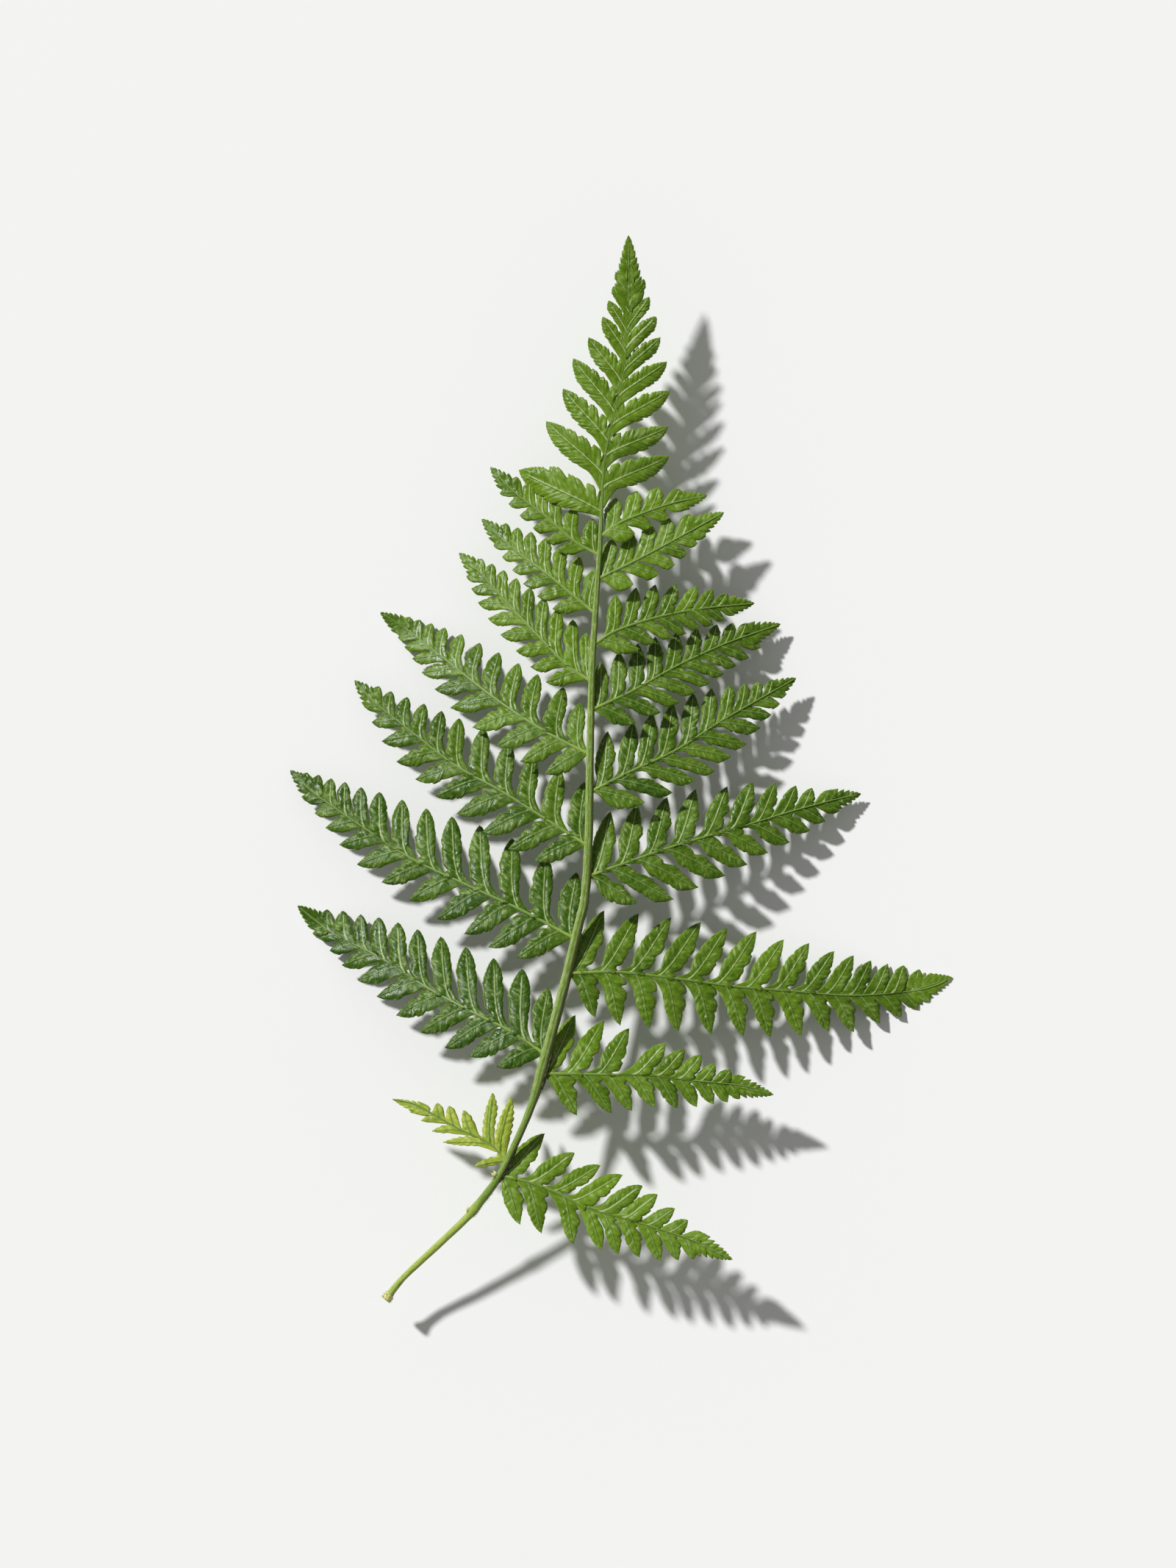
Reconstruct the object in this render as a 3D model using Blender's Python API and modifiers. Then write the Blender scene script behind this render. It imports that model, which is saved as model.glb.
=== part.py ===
"""A cut fern frond lying face up: stalk, rachis, pinnae with their leaflets, lobed top, one young pinna."""

import math

import bmesh
import bpy
import numpy as np
from mathutils.geometry import delaunay_2d_cdt

MM = 0.001

# The frond is 213.5 mm long and 133.4 mm wide. Places on it are read from above in picture points,
# from the left and from the top, and one picture point is this many millimetres on the frond.
POINT_MM = 0.1474
MIDDLE_POINT = (845.5, 1047.0)

BLADE_THICKNESS = 0.65
REST_LEVEL = BLADE_THICKNESS
# The rib stands out of the blade, and so does the midvein of each leaflet over MIDVEIN_LENGTH
RIB_LIFT = 0.45
RIB_ENDS = (0.012, 0.955)
MIDVEIN_LIFT = 0.25
MIDVEIN_LENGTH = 10.0
# The leaflets are cut down to a wing along the rib, and from FUSED_FROM on they grow together
WING = 0.55
FUSED_FROM = 0.62
FUSED_LEAST, FUSED_MOST = 0.04, 0.46
LEAFLET_GAP = 0.42
LEAST_HALF_WIDTH = 0.12
FOOT_NEAR, FOOT_FAR = 0.30, 0.38
END_FOOT, END_FOOT_MOST = 0.3, 1.4
# A pinna leans over the next one below it, its sides hang down, and it bends to the surface
TILT = math.tan(math.radians(15))
PINNA_DROOP = 0.012
TOP_DROOP = 0.017
BEND = 1.35
ROOT_DEPTH = 0.2
LINE_SAMPLES = 241
STALK_STATIONS = 40
STALK_TOP = 0.955
WELD = 0.01

LEAF_GREEN = (0.045, 0.15, 0.022, 1.0)
YOUNG_GREEN = (0.36, 0.47, 0.05, 1.0)

# The line of stalk and rachis, from the cut end to the top of the frond
STALK_ROUTE = [
    (525, 1770), (549, 1740), (591, 1700), (633, 1660), (650, 1640), (679, 1600), (699, 1560), (717, 1520),
    (731, 1480), (747, 1420), (768, 1340), (787, 1260), (797, 1220), (803, 1140), (804, 1020), (806, 905),
    (812, 808), (817, 730), (820, 657), (825, 611), (841, 541), (850, 500), (853, 458), (857, 400), (855, 322),
]
# Share of the stalk's length from its cut end, and there its width and the height of its middle, in mm
STALK_FORM = [
    (0.000, 1.75, 8.0), (0.018, 1.30, 8.8), (0.080, 1.50, 12.0), (0.105, 1.80, 13.4), (0.113, 2.35, 13.9),
    (0.122, 1.90, 14.5), (0.150, 1.95, 16.6), (0.205, 1.60, 17.2), (0.275, 2.00, 17.0), (0.400, 1.90, 16.2),
    (0.555, 1.50, 15.0), (0.680, 1.20, 14.0), (0.790, 0.85, 13.4), (0.920, 0.70, 15.4), (1.000, 0.60, 18.2),
]
WIDTH, HEIGHT = 1, 2
RACHIS_SINK = 0.2
BUDS = [(643, 1638, 14.4), (668, 1605, 16.4)]
BUD_RADIUS = 0.55

# Each pinna: the line of its rib from the rachis to its tip, the tips of the leaflets above and below the
# rib, their slant to it in degrees near the rachis and near the tip, and the height of the tip in mm.
# A height below zero presses the tip flat on the surface.
PINNAE = {
    "right_1": {
        "rib": [(684, 1601), (720, 1607), (760, 1622), (800, 1642), (860, 1661), (920, 1682), (996, 1713)],
        "above": [(741, 1542), (781, 1569), (817, 1585), (847, 1598), (873, 1613), (894, 1625), (918, 1643),
                  (936, 1659), (956, 1676), (970, 1690)],
        "below": [(708, 1664), (737, 1676), (780, 1691), (819, 1699), (842, 1705), (870, 1709), (899, 1714),
                  (923, 1713), (944, 1712)],
        "slant": ((58, 46), (54, 42)), "tip_height": 17.6,
    },
    "right_2": {
        "rib": [(748, 1463), (820, 1461), (884, 1462), (940, 1470), (1000, 1479), (1052, 1490)],
        "above": [(783, 1381), (822, 1389), (856, 1399), (905, 1420), (931, 1428), (954, 1436), (973, 1447),
                  (993, 1456), (1010, 1467)],
        "below": [(785, 1516), (832, 1513), (860, 1510), (891, 1505), (922, 1507), (948, 1505), (971, 1501),
                  (990, 1499), (1006, 1495)],
        "slant": ((66, 38), (55, 42)), "tip_height": 13.0,
    },
    "right_3": {
        "rib": [(781, 1325), (840, 1322), (920, 1331), (1000, 1342), (1080, 1349), (1160, 1355), (1240, 1347),
                (1298, 1330)],
        "above": [(822, 1239), (869, 1243), (913, 1249), (954, 1255), (990, 1263), (1030, 1268), (1067, 1279),
                  (1102, 1284), (1136, 1295), (1163, 1301), (1187, 1308), (1210, 1313), (1232, 1315),
                  (1253, 1320), (1273, 1326)],
        "below": [(810, 1383), (844, 1394), (884, 1398), (923, 1404), (968, 1407), (1012, 1409), (1049, 1411),
                  (1091, 1410), (1129, 1404), (1163, 1405), (1199, 1393), (1229, 1385), (1252, 1374),
                  (1267, 1364), (1281, 1352)],
        "slant": ((65, 50), (66, 34)), "tip_height": -2.4,
    },
    "right_4": {
        "rib": [(806, 1192), (845, 1176), (920, 1150), (1000, 1127), (1080, 1103), (1140, 1087), (1173, 1080)],
        "above": [(831, 1104), (868, 1094), (908, 1084), (947, 1074), (990, 1070), (1024, 1065), (1056, 1065),
                  (1084, 1069), (1106, 1072), (1130, 1075)],
        "below": [(867, 1228), (916, 1223), (950, 1207), (987, 1191), (1017, 1176), (1045, 1160), (1075, 1146),
                  (1103, 1130), (1124, 1117), (1144, 1103)],
        "slant": ((61, 46), (50, 44)), "tip_height": 2.2,
    },
    "right_5": {
        "rib": [(808, 1078), (861, 1048), (920, 1020), (981, 981), (1040, 947), (1084, 922)],
        "above": [(827, 995), (862, 983), (888, 970), (916, 956), (944, 942), (969, 936), (995, 931),
                  (1015, 929), (1033, 926), (1052, 924)],
        "below": [(877, 1091), (915, 1078), (946, 1061), (973, 1049), (995, 1029), (1016, 1012), (1035, 990),
                  (1050, 972), (1062, 957), (1071, 944)],
        "slant": ((56, 42), (43, 44)), "tip_height": 4.6,
    },
    "right_6": {
        "rib": [(809, 967), (860, 940), (920, 906), (980, 878), (1020, 863), (1063, 848)],
        "above": [(818, 900), (843, 886), (868, 875), (892, 866), (921, 860), (949, 854), (976, 849),
                  (998, 847), (1016, 847), (1034, 847)],
        "below": [(865, 983), (899, 969), (924, 956), (947, 941), (966, 929), (985, 917), (1003, 905),
                  (1020, 894), (1036, 880)],
        "slant": ((62, 40), (48, 42)), "tip_height": 3.2,
    },
    "right_7": {
        "rib": [(814, 876), (841, 857), (900, 838), (960, 827), (1027, 820)],
        "above": [(838, 808), (866, 799), (892, 795), (920, 794), (948, 797), (970, 801), (990, 807)],
        "below": [(870, 883), (892, 874), (915, 867), (934, 862), (952, 855), (970, 849), (986, 843), (1000, 836)],
        "slant": ((60, 42), (48, 40)), "tip_height": 6.5,
    },
    "right_8": {
        "rib": [(819, 789), (860, 765), (920, 733), (985, 697)],
        "above": [(834, 733), (860, 724), (887, 714), (911, 705), (938, 699)],
        "below": [(862, 795), (896, 781), (918, 768), (935, 753), (949, 739), (961, 727), (971, 716)],
        "slant": ((48, 40), (44, 42)), "tip_height": 11.6,
    },
    "right_9": {
        "rib": [(819, 729), (840, 713), (880, 696), (920, 683), (962, 674)],
        "above": [(838, 677), (867, 668), (897, 663), (925, 665)],
        "below": [(863, 726), (888, 716), (910, 705), (932, 693)],
        "slant": ((50, 40), (46, 40)), "tip_height": 11.0,
    },
    "left_5": {
        "rib": [(740, 1434), (700, 1405), (640, 1375), (580, 1343), (520, 1305), (460, 1271), (403, 1232)],
        "above": [(745, 1344), (710, 1320), (671, 1304), (633, 1289), (599, 1275), (567, 1265), (540, 1257),
                  (514, 1250), (489, 1245), (465, 1241), (443, 1238), (421, 1235)],
        "below": [(676, 1450), (638, 1436), (605, 1425), (571, 1404), (539, 1381), (512, 1356), (486, 1334),
                  (464, 1314), (447, 1294), (433, 1277), (422, 1262), (412, 1249)],
        "slant": ((58, 50), (62, 42)), "tip_height": -2.4,
    },
    "left_6": {
        "rib": [(770, 1274), (708, 1237), (636, 1204), (560, 1168), (493, 1125), (428, 1075), (393, 1047)],
        "above": [(784, 1187), (742, 1164), (696, 1140), (652, 1123), (614, 1111), (579, 1100), (546, 1088),
                  (515, 1079), (490, 1071), (468, 1064), (449, 1059), (432, 1054), (416, 1051), (403, 1048)],
        "below": [(703, 1302), (665, 1288), (632, 1270), (595, 1250), (556, 1224), (519, 1200), (485, 1176),
                  (461, 1149), (442, 1126), (427, 1106), (415, 1089), (407, 1073), (400, 1060)],
        "slant": ((60, 50), (62, 42)), "tip_height": 1.6,
    },
    "left_7": {
        "rib": [(797, 1152), (741, 1113), (682, 1076), (621, 1042), (567, 1001), (519, 959), (482, 924)],
        "above": [(795, 1064), (761, 1047), (725, 1029), (692, 1009), (657, 990), (624, 977), (600, 967),
                  (576, 957), (553, 948), (531, 940), (514, 933), (498, 928)],
        "below": [(727, 1170), (691, 1155), (655, 1133), (621, 1107), (592, 1083), (565, 1060), (539, 1036),
                  (519, 1008), (505, 982), (495, 960), (487, 942)],
        "slant": ((57, 47), (60, 42)), "tip_height": 2.2,
    },
    "left_8": {
        "rib": [(800, 1028), (742, 995), (675, 951), (601, 893), (551, 854), (516, 832)],
        "above": [(788, 952), (765, 938), (742, 925), (715, 905), (688, 890), (657, 873), (630, 861), (606, 853),
                  (587, 847), (570, 842), (556, 838), (544, 834), (530, 832)],
        "below": [(741, 1052), (708, 1036), (675, 1014), (643, 989), (613, 962), (591, 937), (573, 914),
                  (560, 895), (549, 879), (540, 866), (530, 852)],
        "slant": ((56, 45), (58, 40)), "tip_height": -2.4,
    },
    "left_9": {
        "rib": [(801, 929), (772, 905), (724, 856), (675, 803), (650, 775), (624, 751)],
        "above": [(797, 861), (779, 843), (759, 828), (740, 813), (721, 799), (702, 786), (685, 775), (669, 766),
                  (654, 759), (641, 754)],
        "below": [(743, 928), (722, 907), (702, 885), (681, 863), (664, 841), (650, 819), (641, 800), (634, 783),
                  (628, 768)],
        "slant": ((50, 40), (56, 40)), "tip_height": 3.6,
    },
    "left_10": {
        "rib": [(808, 835), (780, 810), (740, 777), (701, 748), (655, 705)],
        "above": [(810, 774), (788, 757), (765, 742), (743, 731), (722, 723), (704, 717), (688, 711), (672, 706)],
        "below": [(752, 828), (731, 811), (712, 794), (697, 775), (683, 757), (671, 741), (661, 726)],
        "slant": ((58, 42), (58, 40)), "tip_height": 5.5,
    },
    "left_11": {
        "rib": [(813, 757), (780, 735), (740, 700), (701, 670), (667, 635)],
        "above": [(806, 706), (781, 690), (758, 676), (739, 664), (720, 655), (702, 648), (685, 640)],
        "below": [(762, 749), (744, 735), (725, 718), (707, 701), (692, 685), (681, 669), (671, 653)],
        "slant": ((58, 42), (54, 40)), "tip_height": 8.5,
    },
}
YOUNG_PINNA = {
    "rib": [(681, 1571), (659, 1554), (626, 1538), (596, 1525), (565, 1508), (534, 1497)],
    "above": [(695, 1494), (670, 1488), (631, 1511), (611, 1505), (595, 1501), (578, 1499), (563, 1497),
              (551, 1496)],
    "below": [(645, 1585), (603, 1553), (588, 1538), (573, 1524), (558, 1513)],
    "slant": ((48, 50), (40, 42)), "tip_height": 12.5,
}
YOUNG_JUNCTION_HEIGHT = 16.0

# The lobed top: the base on the rachis and the tip of each segment, from the lowest up
TOP_RIB = [(818, 706), (820, 657), (825, 611), (841, 541), (850, 500), (853, 458), (857, 400), (856, 360), (855, 322)]
TOP_LEFT = [
    ((816, 699), (705, 641)), ((819, 645), (743, 573)), ((824, 600), (766, 529)), ((834, 560), (780, 488)),
    ((845, 520), (801, 460)), ((848, 480), (820, 432)), ((853, 452), (828, 410)), ((856, 425), (834, 391)),
    ((857, 398), (838, 370)), ((856, 372), (844, 348)),
]
TOP_RIGHT = [
    ((820, 673), (910, 621)), ((825, 627), (909, 581)), ((836, 584), (911, 532)), ((844, 543), (907, 493)),
    ((850, 504), (898, 460)), ((853, 473), (892, 432)), ((856, 446), (883, 405)), ((857, 415), (876, 381)),
    ((857, 390), (869, 362)), ((856, 360), (863, 344)),
]

# Half the width of a leaflet, and of a segment of the top: a share of its length on the side of the rachis
# and on the far side, and mm more
LEAFLET_WIDTHS = (0.13, 0.13, 0.5)
SEGMENT_WIDTHS = (0.13, 0.25, 0.3)
# Outlines of a leaflet by its length in mm: share of its length and of its half width, on the side of the
# rachis from the base up, then on the far side from the tip down, with a lobe low on the far side
LEAFLET_FORMS = [
    (11.0, [(0.20, 0.90), (0.50, 0.84), (0.78, 0.42)], [(0.74, 0.48), (0.44, 0.80), (0.15, 1.00)]),
    (5.6, [(0.26, 0.92), (0.62, 0.66)], [(0.58, 0.70), (0.20, 1.00)]),
    (2.8, [(0.38, 0.90)], [(0.32, 1.00)]),
    (0.0, [], []),
]
# A segment of the top has lobes, the larger ones on its far side
SEGMENT_FORMS = [
    (9.5, [(0.14, 0.60), (0.38, 0.95), (0.48, 0.76), (0.66, 0.88), (0.82, 0.50)],
     [(0.80, 0.32), (0.70, 0.52), (0.62, 0.44), (0.52, 0.78), (0.44, 0.60), (0.28, 1.00), (0.10, 0.84)]),
    (6.0, [(0.22, 0.80), (0.56, 0.90)], [(0.68, 0.50), (0.50, 0.66), (0.40, 0.56), (0.20, 0.95)]),
    (0.0, [(0.40, 0.80)], [(0.40, 0.70)]),
]


def place(point):
    """A picture point as x and y in mm, from the middle of the frond."""
    return np.array([(point[0] - MIDDLE_POINT[0]) * POINT_MM, (MIDDLE_POINT[1] - point[1]) * POINT_MM])


def smooth_line(route, root=None):
    """Even steps along a smooth curve through the route's points, led back to its root if it has one."""
    knots = np.array([place(p) for p in route])
    if root is not None:
        knots[0] = root
    padded = np.vstack([2 * knots[0] - knots[1], knots, 2 * knots[-1] - knots[-2]])
    fine = []
    t = np.linspace(0, 1, 24, endpoint=False)[:, None]
    for k in range(1, len(padded) - 2):
        a, b, c, d = padded[k - 1:k + 3]
        fine.append(0.5 * (2 * b + (c - a) * t + (2 * a - 5 * b + 4 * c - d) * t**2 + (3 * b - a - 3 * c + d) * t**3))
    fine = np.vstack(fine + [knots[-1:]])
    run = np.concatenate([[0], np.cumsum(np.linalg.norm(np.diff(fine, axis=0), axis=1))])
    even = np.linspace(0, run[-1], LINE_SAMPLES)
    return np.column_stack([np.interp(even, run, fine[:, k]) for k in (0, 1)])


def on_line(line, share):
    """The point at a share of a line's length."""
    stations = np.linspace(0, 1, len(line))
    return np.array([np.interp(share, stations, line[:, k]) for k in (0, 1)])


def direction(line, share):
    """The line's direction there, of length 1."""
    step = on_line(line, min(share + 0.015, 1)) - on_line(line, max(share - 0.015, 0))
    return step / np.linalg.norm(step)


def beside(line, point):
    """The share along the line nearest to a point, and how far left of the line the point is."""
    nearest = np.linalg.norm(line - point, axis=1).argmin()
    share = nearest / (len(line) - 1)
    along, off = direction(line, share), point - line[nearest]
    return share, along[0] * off[1] - along[1] * off[0]


def gap_to_segment(point, start, end):
    """Distance from a point to a straight piece."""
    along = end - start
    share = np.clip(np.dot(point - start, along) / np.dot(along, along), 0, 1)
    return np.linalg.norm(point - start - share * along)


def leaflet_shares(line, tips, slants):
    """Where each leaflet leaves the rib: back from its tip at the slant, then evened out along the rib."""
    shares = np.linspace(0.0, 0.98, 99)
    found = []
    for tip in tips:
        misses = []
        for share in shares:
            along, reach = direction(line, share), tip - on_line(line, share)
            lean = math.degrees(math.acos(np.clip(np.dot(along, reach) / np.linalg.norm(reach), -1, 1)))
            misses.append(abs(lean - slants[0] - (slants[1] - slants[0]) * share))
        found.append(shares[int(np.argmin(misses))])
    order = np.arange(len(found))
    even = np.polyval(np.polyfit(order, found, 3 if len(found) > 6 else 1), order)
    return np.clip(even, 0.012, 0.97)


def side_outline(line, leaflets, forms, widths):
    """One side of a blade from its base to its tip: each leaflet with the notch on either side of it.
    leaflets is [(share of the rib, tip)]. Returns the outline and the middle point of each longer leaflet."""
    axes = [(on_line(line, share), tip) for share, tip in leaflets]
    outline, middles = [], []
    for k, (base, tip) in enumerate(axes):
        length = np.linalg.norm(tip - base)
        along = (tip - base) / length
        before, after = axes[k - 1] if k else None, axes[k + 1] if k + 1 < len(axes) else None
        share = leaflets[k][0]
        rise = direction(line, share)[0] * along[1] - direction(line, share)[1] * along[0]
        side = np.sign(rise)
        grown = max(0.0, share - FUSED_FROM) / (1 - FUSED_FROM)
        fused = FUSED_LEAST + (FUSED_MOST - FUSED_LEAST) * grown
        notch = max(WING / abs(rise), fused * length)
        form = next(form for form in forms if length >= form[0])

        def edge(down, width, other, sign):
            """A point of the edge: a share of the length and of half the width, short of the next leaflet."""
            spot = base + along * (notch + (length - notch) * down)
            half = (widths[0 if sign > 0 else 1] * length + widths[2]) * width
            if other is not None:
                half = min(half, 0.5 * gap_to_segment(spot, *other) - LEAFLET_GAP / 2)
            across = np.array([-along[1], along[0]]) * side * sign
            return spot + across * max(half, LEAST_HALF_WIDTH)

        def notch_point(other, sign):
            """The foot of the leaflet's edge, close to the rib."""
            if other is None:
                reach = -sign * direction(line, share) * min(END_FOOT * length, END_FOOT_MOST)
            else:
                reach = (FOOT_NEAR if sign > 0 else FOOT_FAR) * (on_line(line, other) - base)
            return base + reach + along * notch

        earlier = leaflets[k - 1][0] if k else None
        later = leaflets[k + 1][0] if k + 1 < len(leaflets) else None
        if form[1] or not k:
            outline.append(notch_point(earlier, 1))
        outline += [edge(down, width, before, 1) for down, width in form[1]]
        outline.append(tip)
        outline += [edge(down, width, after, -1) for down, width in form[2]]
        outline.append(notch_point(later, -1))
        if length >= MIDVEIN_LENGTH:
            middles.append(base + along * 0.45 * length)
    return outline, middles


def blade(name, line, left, right, forms, widths, height):
    """A thin solid blade cut into leaflets down to its rib. height(share, offset) gives its upper face."""
    left_edge, left_middles = side_outline(line, left, forms, widths)
    right_edge, right_middles = side_outline(line, right, forms, widths)
    outline = [line[0] - direction(line, 0) * ROOT_DEPTH] + left_edge + [line[-1]] + right_edge[::-1]
    rib_count = round(0.6 * max(len(left), len(right))) + 2
    rib = [on_line(line, share) for share in np.linspace(*RIB_ENDS, rib_count)]
    middles = left_middles + right_middles
    points = outline + rib + middles
    edges = [(len(outline) + k, len(outline) + k + 1) for k in range(rib_count - 1)]
    flat = delaunay_2d_cdt([tuple(p) for p in points], edges, [list(range(len(outline)))], 1, 1e-4)
    lifted = {tuple(np.round(p, 3)): RIB_LIFT for p in rib} | {tuple(np.round(p, 3)): MIDVEIN_LIFT for p in middles}

    sheet = bmesh.new()
    corners = []
    for spot in flat[0]:
        point = np.array(spot)
        share, offset = beside(line, point)
        top = max(height(share, offset) + lifted.get(tuple(np.round(point, 3)), 0.0), REST_LEVEL)
        corners.append(sheet.verts.new((point[0] * MM, point[1] * MM, top * MM)))
    for face in flat[2]:
        sheet.faces.new([corners[k] for k in face])
    bmesh.ops.recalc_face_normals(sheet, faces=sheet.faces)
    if sum(face.normal.z for face in sheet.faces) < 0:
        bmesh.ops.reverse_faces(sheet, faces=sheet.faces)
    loose = [v for v in sheet.verts if not v.link_faces]
    bmesh.ops.delete(sheet, geom=loose, context="VERTS")
    mesh = bpy.data.meshes.new(name)
    sheet.to_mesh(mesh)
    sheet.free()
    body = bpy.data.objects.new(name, mesh)
    thick = body.modifiers.new("thickness", "SOLIDIFY")
    thick.thickness = BLADE_THICKNESS * MM
    thick.offset = -1
    return body


def pinna(name, form, root, root_height):
    """A pinna from its rib and its leaflet tips. Its lower half is raised, so that it lies over the next one."""
    line = smooth_line(form["rib"], root)
    heading_right = line[-1][0] > line[0][0]

    def leaflets(tips, slants):
        spots = [place(tip) for tip in tips]
        return list(zip(leaflet_shares(line, spots, slants), spots))

    above = leaflets(form["above"], form["slant"][0])
    below = leaflets(form["below"], form["slant"][1])

    def height(share, offset):
        sinking = (form["tip_height"] - root_height) * share**BEND
        upward = offset if heading_right else -offset
        return root_height + sinking - upward * TILT * (1 - share**2) - PINNA_DROOP * offset**2

    left, right = (above, below) if heading_right else (below, above)
    return blade(name, line, left, right, LEAFLET_FORMS, LEAFLET_WIDTHS, height)


def stalk_value(share, column):
    """The stalk's WIDTH or HEIGHT at a share of its length from the cut end."""
    return np.interp(share, [row[0] for row in STALK_FORM], [row[column] for row in STALK_FORM])


def top_of_frond(stalk_line):
    """The lobed top, whose rib is the upper end of the rachis."""
    line = smooth_line(TOP_RIB)

    def segments(pairs):
        return [(beside(line, place(base))[0], place(tip)) for base, tip in pairs]

    def height(share, offset):
        along_stalk = beside(stalk_line, on_line(line, share))[0]
        return stalk_value(along_stalk, HEIGHT) + RACHIS_SINK - TOP_DROOP * offset**2

    return blade("top", line, segments(TOP_LEFT), segments(TOP_RIGHT), SEGMENT_FORMS, SEGMENT_WIDTHS, height)


def stalk(line):
    """Stalk and rachis as one tapered tube with the swelling and the flared cut end."""
    curve = bpy.data.curves.new("stalk_line", "CURVE")
    curve.dimensions = "3D"
    curve.bevel_depth = MM
    curve.bevel_resolution = 2
    curve.use_fill_caps = True
    spline = curve.splines.new("POLY")
    shares = np.linspace(0, STALK_TOP, STALK_STATIONS)
    spline.points.add(len(shares) - 1)
    for spot, share in zip(spline.points, shares):
        x, y = on_line(line, share)
        spot.co = (x * MM, y * MM, stalk_value(share, HEIGHT) * MM, 1)
        spot.radius = stalk_value(share, WIDTH) / 2
    tube = bpy.data.objects.new("stalk_tube", curve)
    bpy.context.scene.collection.objects.link(tube)
    bpy.context.view_layer.update()
    mesh = bpy.data.meshes.new_from_object(tube.evaluated_get(bpy.context.evaluated_depsgraph_get()))
    welded = bmesh.new()
    welded.from_mesh(mesh)
    bmesh.ops.remove_doubles(welded, verts=welded.verts, dist=WELD * MM)
    bmesh.ops.recalc_face_normals(welded, faces=welded.faces)
    welded.to_mesh(mesh)
    welded.free()
    bpy.data.objects.remove(tube)
    return bpy.data.objects.new("frond", mesh)


def bud(number, spot):
    """A small blunt bud on the stalk."""
    x, y = place(spot[:2])
    bpy.ops.mesh.primitive_uv_sphere_add(
        segments=8, ring_count=5, radius=BUD_RADIUS * MM, location=(x * MM, y * MM, spot[2] * MM), scale=(1, 1.5, 1))
    body = bpy.context.object
    body.name = f"bud_{number}"
    return body


def plain_material(name, colour, roughness):
    """A leaf's green with its sheen."""
    material = bpy.data.materials.new(name)
    material.use_nodes = True
    shader = material.node_tree.nodes["Principled BSDF"]
    shader.inputs["Base Color"].default_value = colour
    shader.inputs["Roughness"].default_value = roughness
    shader.inputs["Metallic"].default_value = 0.0
    return material


def main():
    for old in list(bpy.data.objects):
        bpy.data.objects.remove(old)
    frond_parts = bpy.data.collections.new("fern_frond")
    fused_parts = bpy.data.collections.new("fused_parts")
    bpy.context.scene.collection.children.link(frond_parts)
    bpy.context.scene.collection.children.link(fused_parts)

    stalk_line = smooth_line(STALK_ROUTE)
    frond = stalk(stalk_line)
    frond_parts.objects.link(frond)
    frond.data.materials.append(plain_material("leaf_green", LEAF_GREEN, 0.42))

    for name, form in PINNAE.items():
        share = beside(stalk_line, place(form["rib"][0]))[0]
        fused_parts.objects.link(pinna(name, form, on_line(stalk_line, share), stalk_value(share, HEIGHT)))
    fused_parts.objects.link(top_of_frond(stalk_line))
    for number, spot in enumerate(BUDS, 1):
        body = bud(number, spot)
        body.users_collection[0].objects.unlink(body)
        fused_parts.objects.link(body)

    union = frond.modifiers.new("grown_together", "BOOLEAN")
    union.operation = "UNION"
    union.operand_type = "COLLECTION"
    union.collection = fused_parts
    union.solver = "MANIFOLD"
    bpy.context.view_layer.objects.active = frond
    bpy.ops.object.modifier_apply(modifier=union.name)
    for body in list(fused_parts.objects):
        bpy.data.objects.remove(body)
    bpy.data.collections.remove(fused_parts)

    young = pinna("young_pinna", YOUNG_PINNA, None, YOUNG_JUNCTION_HEIGHT)
    frond_parts.objects.link(young)
    young.data.materials.append(plain_material("young_green", YOUNG_GREEN, 0.5))


main()
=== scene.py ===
import math

import bpy
import numpy as np
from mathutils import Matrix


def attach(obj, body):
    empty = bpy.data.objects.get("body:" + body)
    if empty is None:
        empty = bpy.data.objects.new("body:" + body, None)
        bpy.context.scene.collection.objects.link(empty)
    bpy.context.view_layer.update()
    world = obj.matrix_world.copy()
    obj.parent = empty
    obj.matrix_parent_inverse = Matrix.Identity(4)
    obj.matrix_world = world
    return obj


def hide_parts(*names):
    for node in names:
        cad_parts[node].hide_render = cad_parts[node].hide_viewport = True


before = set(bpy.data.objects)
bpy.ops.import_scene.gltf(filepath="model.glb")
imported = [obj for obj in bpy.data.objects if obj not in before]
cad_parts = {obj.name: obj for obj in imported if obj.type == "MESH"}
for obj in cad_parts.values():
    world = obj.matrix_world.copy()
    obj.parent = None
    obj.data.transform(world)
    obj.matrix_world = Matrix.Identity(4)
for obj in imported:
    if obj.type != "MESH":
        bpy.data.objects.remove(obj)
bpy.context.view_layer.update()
bpy.ops.object.select_all(action="DESELECT")
print("frame loaded, nodes:", sorted(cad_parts))

# Places on the frond are picture points, seen from straight above and counted from the left and the top
mm = 0.001
pointSize = 0.1474  # mm for one picture point
middlePoint = (845.5, 1047.0)
draw = np.random.default_rng(7)
belowRow, aboveRow, endRow = 0, 1, 2  # a pinna's leaflets below and above its rib, and its fused end


def placeAt(point):
    return np.array([(point[0] - middlePoint[0]) * pointSize, (middlePoint[1] - point[1]) * pointSize])


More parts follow.
